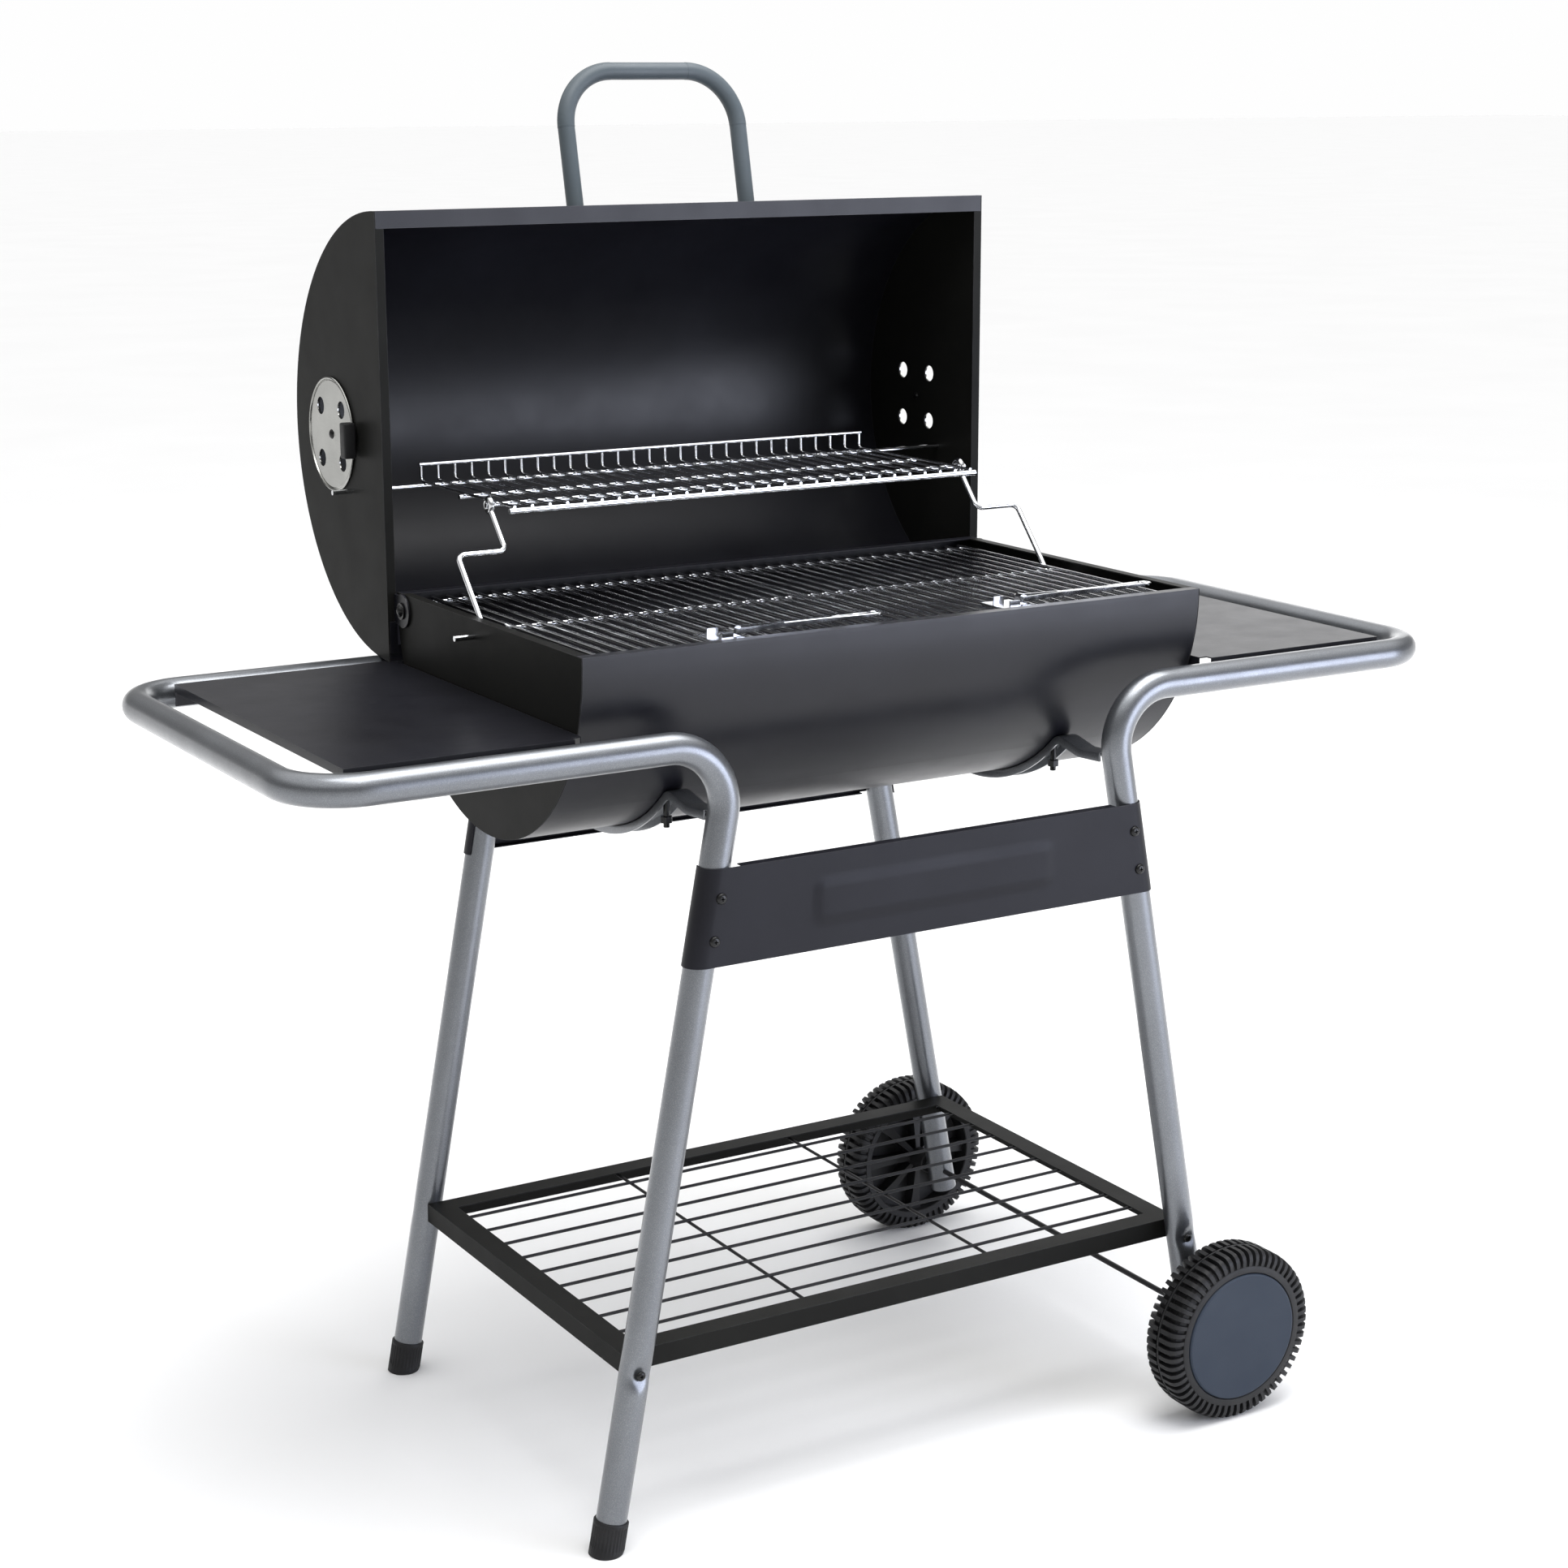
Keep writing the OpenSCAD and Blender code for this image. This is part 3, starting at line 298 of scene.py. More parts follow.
class Shape:
    """Collects vertices and faces of one piece from several simple forms."""

    def __init__(self):
        self.verts = []
        self.faces = []

    def add(self, verts, faces, place=None):
        base = len(self.verts)
        self.verts += [place @ Vector(v) if place else Vector(v) for v in verts]
        self.faces += [tuple(base + i for i in f) for f in faces]

    def rings(self, rings, place=None):
        """Skins a list of equal closed rings of points and caps both ends."""
        n = len(rings[0])
        faces = []
        for r in range(len(rings) - 1):
            for i in range(n):
                j = (i + 1) % n
                faces.append((r * n + i, r * n + j, (r + 1) * n + j, (r + 1) * n + i))
        faces.append(tuple(range(n))[::-1])
        faces.append(tuple((len(rings) - 1) * n + i for i in range(n)))
        self.add([p for ring in rings for p in ring], faces, place)

    def lathe(self, outline, steps, place, ripple=None):
        """Turns a closed outline of (radius, height) points round Z; ripple changes the radii."""
        verts = []
        for s in range(steps):
            a = TAU * s / steps
            for k, (r, h) in enumerate(outline):
                q = r + (ripple(a, k) if ripple else 0)
                verts.append((q * math.cos(a), q * math.sin(a), h))
        n = len(outline)
        faces = []
        for s in range(steps):
            t = (s + 1) % steps
            for k in range(n):
                m = (k + 1) % n
                faces.append((s * n + k, t * n + k, t * n + m, s * n + m))
        self.add(verts, faces, place)

    def sweep(self, path, radius, sides):
        """Round bar along a list of points."""
        path = [Vector(p) for p in path]
        tangent = (path[1] - path[0]).normalized()
        side = tangent.orthogonal().normalized()
        rings = []
        for i, p in enumerate(path):
            ahead = path[min(i + 1, len(path) - 1)] - path[max(i - 1, 0)]
            turn = tangent.rotation_difference(ahead.normalized())
            side = (turn @ side).normalized()
            tangent = ahead.normalized()
            other = tangent.cross(side)
            angles = [TAU * k / sides for k in range(sides)]
            rings.append([p + side * radius * math.cos(a) + other * radius * math.sin(a) for a in angles])
        self.rings(rings)

    def block(self, low, high, soft):
        """Box with all its edges rounded to radius soft."""
        low, high = Vector(low), Vector(high)
        size = high - low
        mid = (low + high) / 2
        form = bmesh.new()
        bmesh.ops.create_cube(form, size=1.0)
        for v in form.verts:
            v.co = Vector((v.co.x * size.x, v.co.y * size.y, v.co.z * size.z)) + mid
        bmesh.ops.bevel(form, geom=form.edges[:], offset=soft, segments=3, affect="EDGES", profile=0.5)
        form.verts.index_update()
        self.add([v.co for v in form.verts], [tuple(v.index for v in f.verts) for f in form.faces])
        form.free()


def circle(radius, steps, x=0.0, y=0.0):
    """Points of a circle on the plane Z = 0."""
    turns = [TAU * k / steps for k in range(steps)]
    return [(x + radius * math.cos(a), y + radius * math.sin(a), 0) for a in turns]


def rounded_path(points, radii, steps):
    """Polyline through points with each inner corner rounded to its own radius."""
    points = [Vector(p) for p in points]
    path = [points[0]]
    for i in range(1, len(points) - 1):
        a = (points[i - 1] - points[i]).normalized()
        b = (points[i + 1] - points[i]).normalized()
        half = a.angle(b) / 2
        run = radii[i - 1] / math.tan(half)
        middle = points[i] + (a + b).normalized() * radii[i - 1] / math.sin(half)
        start = points[i] + a * run - middle
        finish = points[i] + b * run - middle
        for k in range(steps + 1):
            path.append(middle + start.normalized().slerp(finish.normalized(), k / steps) * radii[i - 1])
    path.append(points[-1])
    return path


def about_y(point, side):
    """Places a lathed form with its height pointing along side * Y from point."""
    turn = Matrix.Rotation(-math.pi / 2 * side, 4, "X")
    return Matrix.Translation(point) @ turn


def about_x(point, side):
    """Places a lathed form with its height pointing along side * X from point."""
    turn = Matrix.Rotation(math.pi / 2 * side, 4, "Y")
    return Matrix.Translation(point) @ turn


# ------------------------------------------------------------------ wheels


TYRE_WIDTH = 48 * MM
HUB_INNER_Y = 256 * MM  # inner faces of the hubs, from the middle plane
TREAD_FLOOR = WHEEL_R - 5.6 * MM  # radius between the lugs
RIM_R = WHEEL_R - 16.5 * MM  # where the side wall meets the tread
CAP_R = WHEEL_R * 0.74


def lug_outline(half, depth):
    """Section of a lug, from the tread's centre over the shoulder and down the side wall.

    Each station is (radius, height, root's drop, root's shift inward).
    """
    return [
        (WHEEL_R, 2.2 * MM, depth, 0.0),
        (WHEEL_R, half * 0.55, depth, 0.0),
        (WHEEL_R - 1.2 * MM, half * 0.78, depth, 0.0),
        (WHEEL_R - 4.5 * MM, half * 0.92, depth * 0.8, depth * 0.45),
        (WHEEL_R - 9.5 * MM, half * 0.985, 2.5 * MM, 4.5 * MM),
        (WHEEL_R - 16.0 * MM, half * 0.97, 0.5 * MM, 4.0 * MM),
    ]


def add_lugs(shape, place):
    """Two rows of blocks that wrap over the shoulders of the tyre."""
    count = 60
    reach = TAU / count * 0.31  # half a lug's width
    crown = 0.75  # share of the reach that is left at a lug's top
    skew = 0.35 * reach  # how far a lug leans back down the side wall
    outline = lug_outline(TYRE_WIDTH / 2, 6.5 * MM)
    for row in SIDES:
        for k in range(count):
            rings = []
            for i, (r, h, drop, inward) in enumerate(outline):
                middle = TAU * k / count - skew * i / (len(outline) - 1)
                ring = []
                for turn, root in ((-1, 1), (-crown, 0), (crown, 0), (1, 1)):
                    q = middle + turn * reach
                    far = r - root * drop
                    ring.append((far * math.cos(q), far * math.sin(q), row * (h - root * inward)))
                rings.append(ring)
            shape.rings(rings, place)


def wheel(node, cap_node, side):
    """Moulded tyre, web, spokes and hub in one piece, and a slightly dished cap disc."""
    low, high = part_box(node)
    outer = high.y if side > 0 else low.y
    middle = Vector(((low.x + high.x) / 2, outer - side * TYRE_WIDTH / 2, (low.z + high.z) / 2))
    place = about_y(middle, side)
    half = TYRE_WIDTH / 2
    seat = CAP_R + 0.6 * MM
    shape = Shape()
    # Tyre: inner side wall, tread with its centre bead, outer side wall, seat of the cap
    shape.lathe([
        (seat, -half + 1.0 * MM), (seat + 1.0 * MM, -half), (RIM_R, -half),
        (RIM_R + 1.0 * MM, -half + 3.0 * MM), (TREAD_FLOOR - 3.0 * MM, -half + 5.0 * MM),
        (TREAD_FLOOR, -half + 9 * MM), (TREAD_FLOOR, -1.2 * MM), (WHEEL_R - 0.4 * MM, -1.0 * MM),
        (WHEEL_R - 0.4 * MM, 1.0 * MM), (TREAD_FLOOR, 1.2 * MM), (TREAD_FLOOR, half - 9 * MM),
        (TREAD_FLOOR - 3.0 * MM, half - 5.0 * MM), (RIM_R + 1.0 * MM, half - 3.0 * MM),
        (RIM_R + 0.4 * MM, half - 0.5 * MM), (RIM_R - 0.4 * MM, half), (seat + 0.8 * MM, half),
        (seat, half - 0.8 * MM), (seat, half - 12 * MM), (seat - 1.5 * MM, half - 14 * MM),
    ], 120, place)
    add_lugs(shape, place)

    web, web_thick = half - 26 * MM, 3 * MM
    bore, hub_r = 3.1 * MM, 12.6 * MM
    hub_in = abs(abs(middle.y - BARREL_Y) - HUB_INNER_Y)
    hub_out = half - 20.5 * MM
    shape.lathe([
        (hub_r - 1.0 * MM, web), (seat + 1 * MM, web), (seat + 1 * MM, web + web_thick),
        (hub_r - 1.0 * MM, web + web_thick),
    ], 72, place)
    shape.lathe([
        (bore, -hub_in), (hub_r - 1.6 * MM, -hub_in), (hub_r - 0.6 * MM, -hub_in + 1 * MM),
        (hub_r, web + 1 * MM), (hub_r, hub_out), (bore, hub_out),
    ], 48, place)

    spokes = 8
    # Stations along a spoke: radius, width and set-back in mm
    stations = ((11, 5.5, 3), (30, 7, 5), (50, 10, 7), (seat / MM + 0.5, 15, 9))
    for k in range(spokes):
        rings = []
        for r, wide, back in stations:
            x, y, inner = r * MM, wide * MM / 2, -half + back * MM
            rings.append([(x, -y, inner), (x, y, inner), (x, y, web + 1 * MM), (x, -y, web + 1 * MM)])
        shape.rings(rings, place @ Matrix.Rotation(TAU * k / spokes, 4, "Z"))
    made = piece(node + "_moulding", shape.verts, shape.faces, "black_plastic", node + "_body", 35.0)
    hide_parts(node)

    face = half + 1.2 * MM
    dish = 0.9 * MM
    outline = [(0.0, face - dish)]
    outline += [(CAP_R * s, face - dish + dish * s ** 3) for s in (0.25, 0.5, 0.7, 0.82)]
    outline += [
        (CAP_R - 2.2 * MM, face - 0.1 * MM), (CAP_R - 0.8 * MM, face - 0.7 * MM),
        (CAP_R, face - 2.0 * MM), (CAP_R, face - 6 * MM), (CAP_R - 3 * MM, face - 6 * MM),
        (CAP_R - 3 * MM, face - 4 * MM), (0.0, face - 4 * MM),
    ]
    disc = Shape()
    disc.lathe(outline, 96, place)
    made = piece(cap_node + "_disc", disc.verts, disc.faces, "slate_plastic", node + "_body", 20.0)
    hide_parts(cap_node)


wheel("front_wheel", "front_wheel_cap", -1)
wheel("back_wheel", "back_wheel_cap", 1)


# ------------------------------------------------------------------ foot caps


def foot_cap(node, side):
    """Ribbed plastic cap on a leaning leg, with a flat sole."""
    axis = Matrix.Translation((-FOOT_X, BARREL_Y + side * LOOP_Y, 0)) @ Matrix.Rotation(LEAN, 4, "Y")
    top = 33 * MM
    skin = TUBE_R + 2 * MM
    inner = TUBE_R + 0.1 * MM
    outline = [
        (0.0, -4 * MM), (skin - 1.5 * MM, -4 * MM), (skin, -2.5 * MM), (skin, 6 * MM),
        (skin - 0.5 * MM, 7 * MM), (skin - 0.5 * MM, top - 5 * MM), (skin, top - 4 * MM),
        (skin, top - 1 * MM), (skin - 0.8 * MM, top), (inner, top), (inner, CAP_FLOOR), (0.0, CAP_FLOOR),
    ]
    ribs, rib_height = 30, 0.45 * MM
    ribbed_points = (4, 5)  # the outline's points between the two smooth bands

    def ripple(angle, k):
        return rib_height * math.cos(ribs * angle) if k in ribbed_points else 0.0

    shape = Shape()
    shape.lathe(outline, 180, axis, ripple)
    for v in shape.verts:
        v.z = max(v.z, 0.0)
    made = piece(node + "_ribbed", shape.verts, shape.faces, "black_plastic", "trolley", 50.0)
    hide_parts(node)


foot_cap("front_foot_cap", -1)
foot_cap("back_foot_cap", 1)


# ------------------------------------------------------------------ frame tubes


def pressed(point, spots):
    """Moves a point of the tube's skin in where the shelf's screws have dented it."""
    dent_r, dent = 11 * MM, 3.2 * MM
    x, y, z = point
    for sx, sy, sz in spots:
        near = ((x - sx) ** 2 + (z - sz) ** 2) / dent_r ** 2
        face = (y - sy) / TUBE_R
        if abs(face) > 0.2:  # leaves the tube's inner and outer sides alone
            y -= math.copysign(dent * math.exp(-near) * min(1.0, abs(face)), face)
    return Vector((x, y, z))


def tube_route(side, foot_z, loop_z):
    """Centre line of a frame tube: front leg, side loop and back leg, in steps of 3 mm at most."""
    loop_x = 630 * MM
    leg_bend, corner_bend = 57 * MM, 60 * MM
    points = [
        (leg_x(foot_z), -LOOP_Y, foot_z), (leg_x(loop_z), -LOOP_Y, loop_z), (loop_x, -LOOP_Y, loop_z),
        (loop_x, LOOP_Y, loop_z), (leg_x(loop_z), LOOP_Y, loop_z), (leg_x(foot_z), LOOP_Y, foot_z),
    ]
    path = rounded_path(points, [leg_bend, corner_bend, corner_bend, leg_bend], 14)
    fine = [path[0]]
    for p in path[1:]:
        steps = max(1, round((p - fine[-1]).length / (3 * MM)))
        start = fine[-1]
        fine += [start.lerp(p, k / steps) for k in range(1, steps + 1)]
    return [Vector((side * p.x, p.y + BARREL_Y, p.z)) for p in fine]


def frame_tube(node, side, foot_z):
    loop_z = centre("table_screws").z
    screw_z = centre("shelf_screws").z
    spots = [(side * leg_x(screw_z), BARREL_Y + f * LOOP_Y, screw_z) for f in SIDES]
    shape = Shape()
    shape.sweep(tube_route(side, foot_z, loop_z), TUBE_R, 32)
    shape.verts = [pressed(v, spots) for v in shape.verts]
    made = piece(node + "_drawn", shape.verts, shape.faces, "silver_paint", "trolley", 50.0)
    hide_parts(node)


frame_tube("left_frame_tube", -1, CAP_FLOOR)
frame_tube("right_frame_tube", 1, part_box("right_frame_tube")[0].z + TUBE_R * math.sin(LEAN))


# ------------------------------------------------------------------ panels and screws


def cross_head(shape, place, radius, rise):
    """Pan head with a cross recess, standing on its own Z = 0."""
    dome = ((1.0, 0.0), (1.0, 0.25), (0.93, 0.55), (0.78, 0.82), (0.58, 0.95), (0.4, 1.0))
    steps = 48
    layers = [[(x, y, rise * h) for x, y, _ in circle(radius * r, steps)] for r, h in dome]

    def cross(scale, depth):
        """Outline of the recess: long reach in the four arms, short reach between them."""
        long_reach, short_reach, arm = 0.44, 0.2, 0.36
        ring = []
        for k in range(steps):
            a = TAU * k / steps
            fold = abs((a + math.pi / 4) % (math.pi / 2) - math.pi / 4)
            reach = scale * (long_reach if fold < arm else short_reach)
            ring.append((radius * reach * math.cos(a), radius * reach * math.sin(a), rise * depth))
        return ring

    layers.append(cross(1.0, 1.02))
    layers.append(cross(0.9, 0.35))
    layers.append([(0.3 * x, 0.3 * y, rise * 0.1) for x, y, _ in cross(0.8, 0.1)])
    shape.rings(layers, place)


def field_height(x, z, middle_z):
    """Height of the front panel's plain raised field, with soft shoulders."""
    half_width, half_height, shoulder = 128 * MM, 14 * MM, 9 * MM
    dx = max(abs(x) - half_width, 0) / shoulder
    dz = max(abs(z - middle_z) - half_height, 0) / shoulder
    d = math.hypot(dx, dz)
    return min(2.0 * MM * (1 - (3 * d * d - 2 * d ** 3)), 1.6 * MM) if d < 1 else 0.0


def panel(node, face):
    """Sheet wrapped round two legs, with a folded return along its top and bottom."""
    low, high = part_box(node)
    sheet = 1.2 * MM
    wrap_r = TUBE_R + 0.6 * MM + sheet
    front = LOOP_Y + wrap_r
    rows, columns, turns = 24, 96, 16
    wrap_start, wrap_sweep = -28, 118  # degrees, from behind a leg's outer side round to its front
    middle_z = (low.z + high.z) / 2

    def wrapped_end(z, side):
        """Points of the sheet round a leg at height z, ending at the panel's flat front."""
        out = []
        for k in range(turns + 1):
            a = math.radians(wrap_start + wrap_sweep * k / turns)
            out.append((side * (leg_x(z) + wrap_r * math.cos(a)), LOOP_Y + wrap_r * math.sin(a)))
        return out

    outer = []
    for r in range(rows + 1):
        z = low.z + (high.z - low.z) * r / rows
        left, right = wrapped_end(z, -1), wrapped_end(z, 1)[::-1]
        x0, x1 = left[-1][0], right[0][0]
        flat = [(x0 + (x1 - x0) * c / columns, front) for c in range(1, columns)]
        outer.append([(x, y, z) for x, y in left + flat + right])

    skin, back = [], []
    for row in outer:
        for x, y, z in row:
            lift = field_height(x, z, middle_z) if node == "front_panel" else 0.0
            skin.append(Vector((x, face * (y + lift) + BARREL_Y, z)))
            if abs(x) > leg_x(z):
                dx, dy = abs(x) - leg_x(z), y - LOOP_Y
                far = math.hypot(dx, dy)
                scale = (far - sheet) / far
                x, y = math.copysign(leg_x(z) + dx * scale, x), LOOP_Y + dy * scale
            else:
                y = y - sheet + lift
            back.append(Vector((x, face * y + BARREL_Y, z)))

    n = len(outer[0])
    total = len(skin)
    faces = []
    for r in range(rows):
        for k in range(n - 1):
            a = r * n + k
            faces.append((a, a + 1, a + n + 1, a + n))
            faces.append((total + a, total + a + n, total + a + n + 1, total + a + 1))
    for r in range(rows):
        for k in (0, n - 1):
            a = r * n + k
            faces.append((a, a + n, total + a + n, total + a))
    for k in range(n - 1):
        for r in (0, rows):
            a = r * n + k
            faces.append((a, total + a, total + a + 1, a + 1))
    shape = Shape()
    shape.add(skin + back, faces)

    return_depth, leg_gap = 11 * MM, 5 * MM
    for z, rise in ((low.z, 1), (high.z, -1)):
        half = leg_x(z) - TUBE_R - leg_gap
        y0, y1 = sorted(face * (front - depth) + BARREL_Y for depth in (sheet * 0.6, return_depth))
        z0, z1 = sorted((z, z + rise * sheet))
        shape.block((-half, y0, z0), (half, y1, z1), 0.25 * MM)
    made = piece(node + "_sheet", shape.verts, shape.faces, "black_enamel", "trolley", 40.0)
    # The panel gets its own darker copy of the enamel: painted shade.
    made.data.materials[0] = SHADED_PANEL
    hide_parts(node)


panel("front_panel", -1)
panel("back_panel", 1)


def screws():
    """Cross-headed screws on the wrapped ends of the panels and in the dents of the tubes."""
    inset = 2.5 * MM  # panel screws sit this far inside the legs' centre lines
    front = LOOP_Y + TUBE_R + 1.75 * MM
    low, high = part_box("panel_screws")
    cad_head = 4.5 * MM
    shape = Shape()
    for face in SIDES:
        for side in SIDES:
            for z in (low.z + cad_head, high.z - cad_head):
                spot = Vector((side * (leg_x(z) - inset), BARREL_Y + face * front, z))
                cross_head(shape, about_y(spot, face), cad_head + 0.8 * MM, 3.0 * MM)
    made = piece("panel_cross_screws", shape.verts, shape.faces, "black_screws", "trolley", 30.0)
    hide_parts("panel_screws")

    z = centre("shelf_screws").z
    dent_floor = LOOP_Y + TUBE_R - 3.1 * MM
    shape = Shape()
    for face in SIDES:
        for side in SIDES:
            spot = Vector((side * leg_x(z), BARREL_Y + face * dent_floor, z))
            cross_head(shape, about_y(spot, face), 4.8 * MM, 2.6 * MM)
    made = piece("shelf_cross_screws", shape.verts, shape.faces, "black_screws", "trolley", 30.0)
    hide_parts("shelf_screws")


screws()


# ------------------------------------------------------------------ dampers


def in_order(form):
    """Points and faces of a bmesh, sorted because a filled face's triangles have no fixed order."""
    points = sorted(tuple(v.co) for v in form.verts)
    number = {p: i for i, p in enumerate(points)}
    faces = []
    for f in form.faces:
        loop = [number[tuple(v.co)] for v in f.verts]
        first = loop.index(min(loop))
        faces.append(tuple(loop[first:] + loop[:first]))
    return points, sorted(faces)


def damper(side, name):
    """Disc with four vents and a rolled rim, and the grip at its edge."""
    low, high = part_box(name + "_damper")
    middle = (low + high) / 2
    r = (high.z - low.z) / 2
    inner = low.x if side > 0 else high.x
    place = about_x(Vector((inner, middle.y, middle.z)), side)
    offset, hole_r, sheet = 27 * MM, 9 * MM, 1.2 * MM
    holes = [(offset * a, offset * b) for a in SIDES for b in SIDES]

    form = bmesh.new()
    edges = []
    for loop in [circle(r * 0.93, 96)] + [circle(hole_r, 32, x, y) for x, y in holes]:
        made = [form.verts.new(p) for p in loop]
        edges += [form.edges.new((made[k], made[(k + 1) % len(made)])) for k in range(len(made))]
    bmesh.ops.triangle_fill(form, edges=edges, use_beauty=True)

    def in_hole(f):
        spot = f.calc_center_median()
        return any(math.hypot(spot.x - x, spot.y - y) < hole_r * 0.9 for x, y in holes)

    bmesh.ops.delete(form, geom=[f for f in form.faces if in_hole(f)], context="FACES")
    thick = bmesh.ops.extrude_face_region(form, geom=form.faces[:])
    for v in thick["geom"]:
        if isinstance(v, bmesh.types.BMVert):
            v.co.z += sheet
    shape = Shape()
    shape.add(*in_order(form), place)
    form.free()
    shape.lathe([
        (r * 0.925, 0.0), (r - 1.0 * MM, 0.0), (r - 0.2 * MM, 0.6 * MM), (r, 1.3 * MM),
        (r - 0.5 * MM, 2.2 * MM), (r - 1.4 * MM, 2.6 * MM), (r - 2.2 * MM, 2.2 * MM),
        (r - 2.7 * MM, 0.5 * MM), (r - 3.3 * MM, 0.5 * MM), (r * 0.925, sheet),
    ], 96, place)
    body = name + "_damper_body"
    made = piece(name + "_damper_disc", shape.verts, shape.faces, "zinc_steel", body, 32.0)
    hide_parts(name + "_damper")

    low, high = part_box(name + "_damper_knob")
    slim = (high.y - low.y) * 0.14
    short = (high.x - low.x) * 0.25
    forward = 7 * MM  # the grip stands on the disc's front edge
    low = low + Vector((short if side < 0 else 0, slim - forward, 0))
    high = high - Vector((short if side > 0 else 0, slim + forward, 0))
    shape = Shape()
    shape.block(low, high, 1.8 * MM)
    made = piece(name + "_damper_grip", shape.verts, shape.faces, "black_plastic", body, 45.0)
    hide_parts(name + "_damper_knob")


damper(-1, "left")
damper(1, "right")


# ------------------------------------------------------------------ grate handles


def channel_section(width, depth, groove, sheet):
    """Half-open channel seen from its end: rounded shoulders and a groove along its top."""
    lip, shoulder = 0.5 * MM, 0.6 * MM
    g, inner = min(1.6 * MM, width / 2), width - sheet
    return (
        (-width, -depth), (-width, -lip), (-width + shoulder, 0.0), (-g, 0.0), (-0.5 * g, -groove),
        (0.5 * g, -groove), (g, 0.0), (width - shoulder, 0.0), (width, -lip), (width, -depth),
        (inner, -depth), (inner, -groove - sheet), (-inner, -groove - sheet), (-inner, -depth),
    )


def bail(name):
    """Long narrow handle: two arms that meet in a folded channel with a bored, round end."""
    low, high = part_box(name + "_grate_handle")
    pin = Vector((low.x + 3 * MM, (low.y + high.y) / 2, (low.z + high.z) / 2))
    top = high.z - pin.z
    length = high.x - pin.x
    end_r = 7 * MM
    tip = length - end_r
    sheet = 1.0 * MM
    place = Matrix.Translation(pin)
    shape = Shape()
    for face in SIDES:
        rings = []
        for share, out in ((-0.018, 6.8), (0.02, 6.8), (0.16, 4.6), (0.32, 3.0)):  # share of length, mm
            x, y = length * share, face * out * MM
            rings.append([
                (x, y - sheet, -top), (x, y + sheet, -top), (x, y + sheet, top), (x, y - sheet, top),
            ])
        shape.rings(rings, place)
    stations = (  # share of length, then half width, depth and groove in mm
        (0.28, 3.4, 5.0, 0.0), (0.36, 3.2, 5.0, 0.0), (0.60, 3.0, 4.6, 0.0), (0.66, 3.8, 4.2, 0.4),
        (0.72, 5.2, 3.6, 1.0), (0.80, 6.2, 3.2, 1.2), (0.88, 6.6, 3.0, 1.0),
        (tip / length - 0.02, 6.6, 3.0, 0.2),
    )
    rings = []
    for share, half, depth, groove in stations:
        section = channel_section(half * MM, depth * MM, groove * MM, sheet)
        rings.append([(length * share, y, top + z) for y, z in section])
    shape.rings(rings, place)
    shape.lathe([
        (3.0 * MM, -2.6 * MM), (end_r - 0.6 * MM, -2.6 * MM), (end_r, -2.0 * MM), (end_r, -0.6 * MM),
        (end_r - 0.6 * MM, 0.0), (3.6 * MM, 0.0), (3.0 * MM, -0.6 * MM),
    ], 40, Matrix.Translation(pin + Vector((tip, 0, top))))
    shape.sweep([pin + Vector((0, face * 8.3 * MM, 0)) for face in SIDES], 2.0 * MM, 16)
    made = piece(name + "_folded_bail", shape.verts, shape.faces, "chrome_wire", name + "_bail", 40.0)
    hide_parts(name + "_grate_handle")


bail("left")
bail("right")


# ------------------------------------------------------------------ saddles


def saddle(node):
    """Pressed channel that follows the barrel from below and swings out to the two tubes."""
    low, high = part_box(node)
    wrap_low, wrap_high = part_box("barrel_wrap")
    barrel_r = (wrap_high.y - wrap_low.y) / 2
    centre_z = wrap_low.z + barrel_r
    thick, gap = 8.6 * MM, 0.3 * MM
    middle_r = barrel_r + gap + thick / 2
    leave = math.radians(40)  # where the channel leaves the barrel
    steps = 24
    arc = []
    for k in range(steps + 1):
        a = leave * k / steps
        arc.append(Vector((middle_r * math.sin(a), centre_z - middle_r * math.cos(a))))
    run = Vector((math.cos(leave), math.sin(leave)))
    end_rise = 61.4 * MM  # the channel's end at the tube, above its lowest point
    end = Vector(((high.y - low.y) / 2, low.z + end_rise))
    bends = rounded_path([
        (*arc[-1], 0), (*(arc[-1] + run * 22 * MM), 0), (*(end + Vector((-35, -2)) * MM), 0), (*end, 0),
    ], [16 * MM, 40 * MM], 8)
    half = arc[:-1] + [p.xy for p in bends]
    path = [Vector((-p.x, p.y)) for p in half[:0:-1]] + half
    profile = (  # channel open towards the floor, in mm
        (-11, -4.3), (-11, 2.3), (-10.4, 3.7), (-9, 4.3), (9, 4.3), (10.4, 3.7), (11, 2.3),
        (11, -4.3), (9.2, -4.3), (9.2, 2.3), (8.6, 2.6), (-8.6, 2.6), (-9.2, 2.3), (-9.2, -4.3),
    )
    x = (low.x + high.x) / 2
    rings = []
    for i, p in enumerate(path):
        ahead = (path[min(i + 1, len(path) - 1)] - path[max(i - 1, 0)]).normalized()
        rings.append([
            (x + u * MM, BARREL_Y + p.x - ahead.y * v * MM, p.y + ahead.x * v * MM) for u, v in profile
        ])
    shape = Shape()
    shape.rings(rings)
    for face in SIDES:  # weld bead round each end
        y = BARREL_Y + face * end.x
        corners = ((-1, -1), (-1, 1), (1, 1), (1, -1))
        bead = [(x + u * 10.4 * MM, y, end.y + v * 3.8 * MM) for u, v in corners]
        shape.sweep(bead, 1.7 * MM, 10)
    made = piece(node + "_pressed", shape.verts, shape.faces, "silver_paint", "trolley", 40.0)
    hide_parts(node)


saddle("left_saddle")
saddle("right_saddle")


# ------------------------------------------------------------------ stage, light and camera


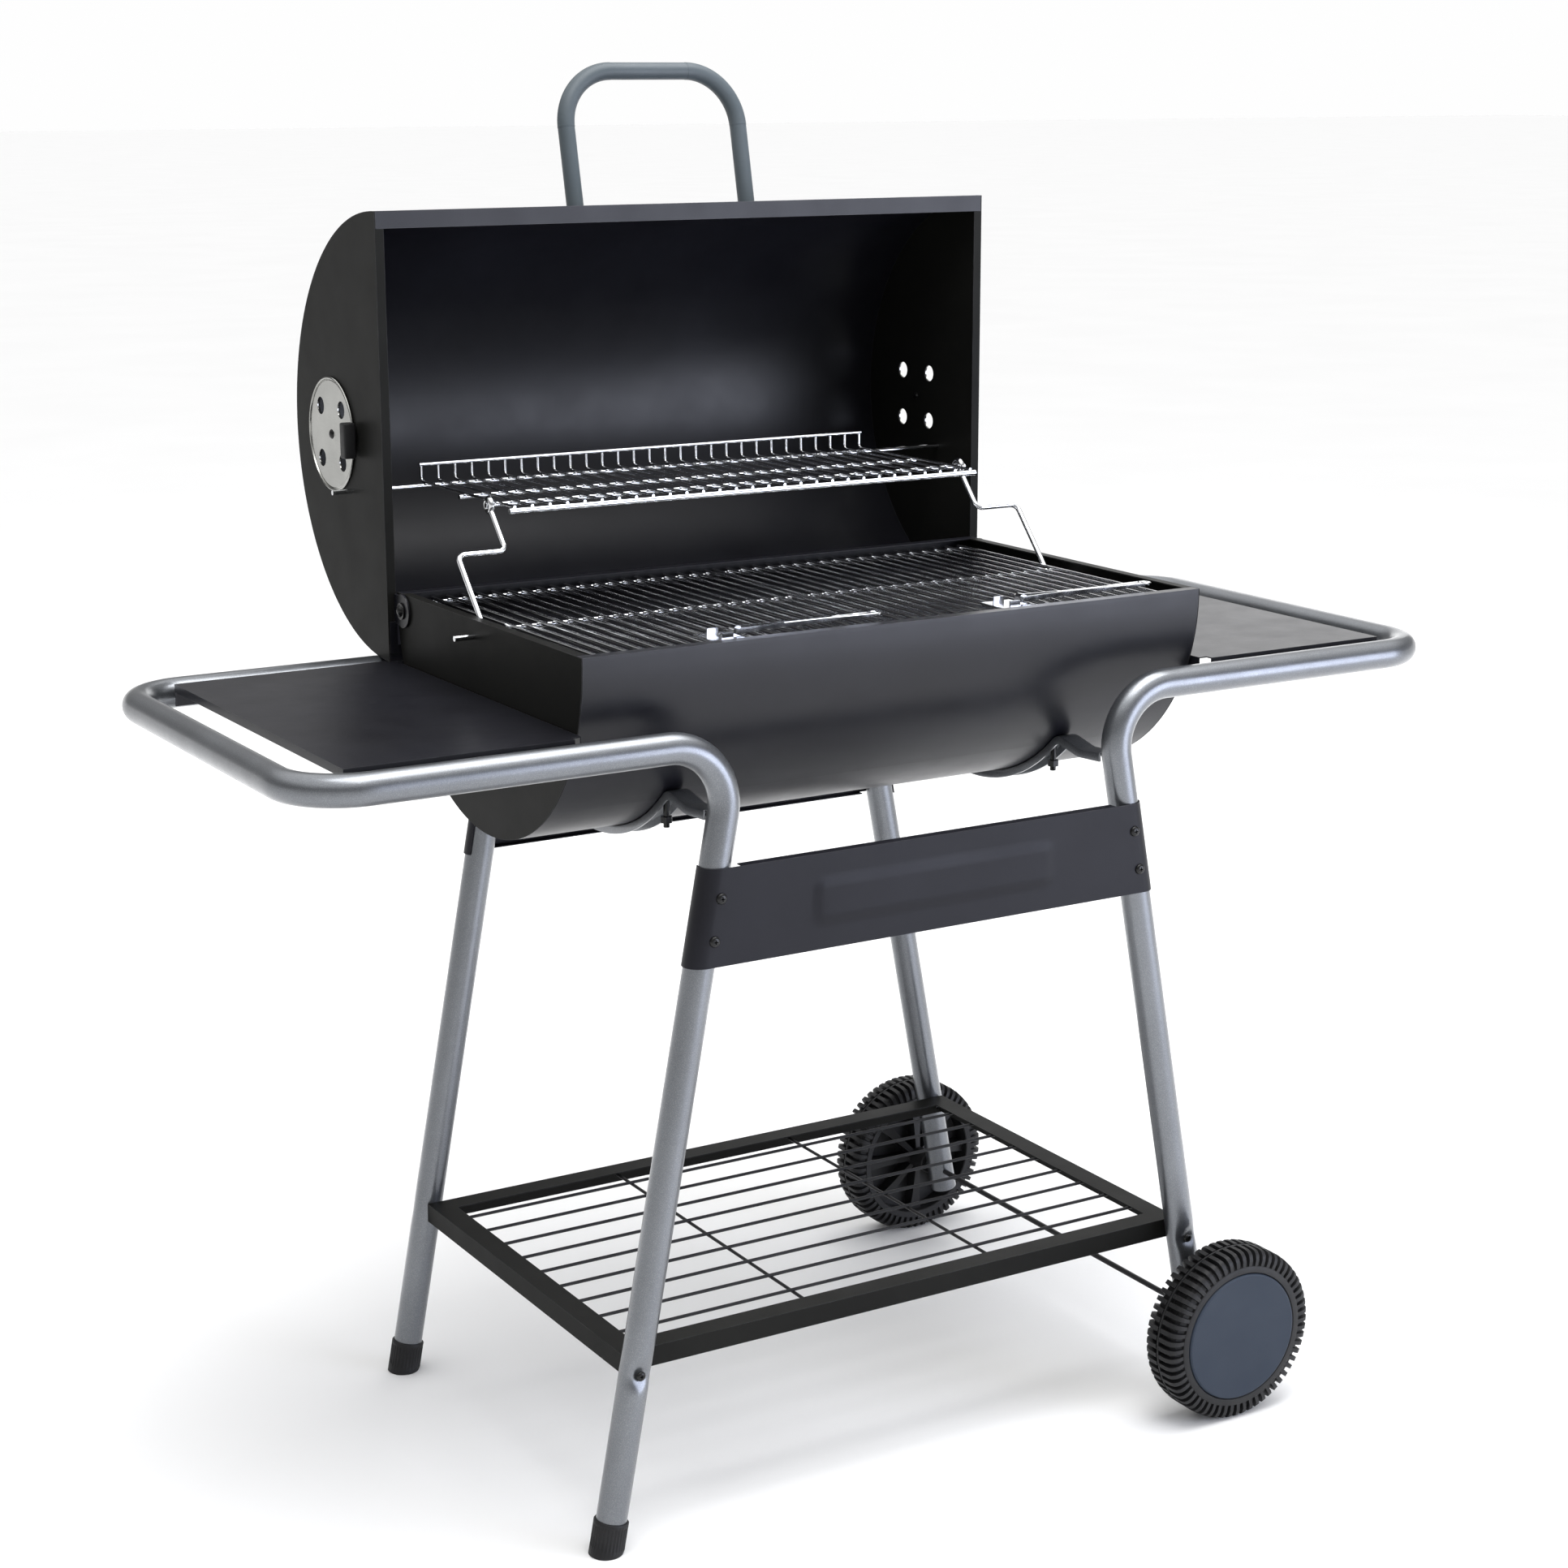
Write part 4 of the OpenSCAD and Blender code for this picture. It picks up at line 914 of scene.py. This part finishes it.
def stage():
    """Plain pale floor, wide enough to reach the horizon."""
    size = 80.0
    verts = [(-size, -size, 0), (size, -size, 0), (size, size, 0), (-size, size, 0)]
    mesh = bpy.data.meshes.new("floor")
    mesh.from_pydata(verts, [], [(0, 1, 2, 3)])
    mesh.materials.append(floor_look())
    floor = bpy.data.objects.new("floor", mesh)
    bpy.context.scene.collection.objects.link(floor)


def area_light(name, place, aim, size, power, tint=(1, 1, 1)):
    """Rectangular lamp at place that shines at aim and isn't seen by the camera."""
    data = bpy.data.lights.new(name, "AREA")
    data.shape = "RECTANGLE"
    data.size, data.size_y = size
    data.energy = power
    data.color = tint
    lamp = bpy.data.objects.new(name, data)
    lamp.location = place
    lamp.rotation_euler = (Vector(aim) - Vector(place)).to_track_quat("-Z", "Y").to_euler()
    lamp.visible_camera = False
    bpy.context.scene.collection.objects.link(lamp)


def lights():
    """White surround at the horizon, a dim band above it, a wide bright ceiling and three lamps."""
    world = bpy.data.worlds.new("studio")
    world.use_nodes = True
    nodes, links = world.node_tree.nodes, world.node_tree.links
    split = nodes.new("ShaderNodeSeparateXYZ")
    links.new(nodes.new("ShaderNodeTexCoord").outputs["Generated"], split.inputs[0])
    ramp = nodes.new("ShaderNodeValToRGB")
    links.new(split.outputs["Z"], ramp.inputs["Fac"])
    links.new(ramp.outputs["Color"], nodes["Background"].inputs["Color"])
    nodes["Background"].inputs["Strength"].default_value = 1.6
    # (height of the direction, grey level)
    stops = ((0.0, 0.62), (0.04, 0.62), (0.12, 0.17), (0.45, 0.17), (0.72, 0.95), (1.0, 1.0))
    marks = ramp.color_ramp.elements
    while len(marks) < len(stops):
        marks.new(0.5)
    for mark, (height, level) in zip(marks, stops):
        mark.position = height
        mark.color = (level, level, level, 1.0)
    bpy.context.scene.world = world
    area_light("overhead", (0.3, -0.4, 3.2), (0.1, 0, 0.8), (2.6, 1.8), 90)
    area_light("key", (2.1, -2.9, 0.85), (0.1, -0.1, 0.75), (2.2, 1.7), 70, (0.78, 0.83, 1.0))
    area_light("back_wall", (3.2, 3.4, 1.75), (0.3, 0, 0.9), (2.8, 2.2), 24)
    bpy.context.scene.view_settings.view_transform = "Standard"


def camera():
    """Camera at the photograph's viewing angle, without shift or depth of field."""
    azimuth, elevation, roll = (math.radians(a) for a in (-30.90, 13.57, -0.13))
    place = (-1.507, -2.488 + BARREL_Y, 1.358)
    back = Vector((
        math.sin(azimuth) * math.cos(elevation),
        -math.cos(azimuth) * math.cos(elevation),
        math.sin(elevation),
    ))
    right = Vector((math.cos(azimuth), math.sin(azimuth), 0))
    up = back.cross(right)
    turn = Matrix((right, up, back)).transposed().to_4x4() @ Matrix.Rotation(roll, 4, "Z")
    data = bpy.data.cameras.new("camera")
    data.lens = 67.0
    data.sensor_width = 36.0
    made = bpy.data.objects.new("camera", data)
    made.matrix_world = Matrix.Translation(place) @ turn
    bpy.context.scene.collection.objects.link(made)
    bpy.context.scene.camera = made


stage()
lights()
camera()
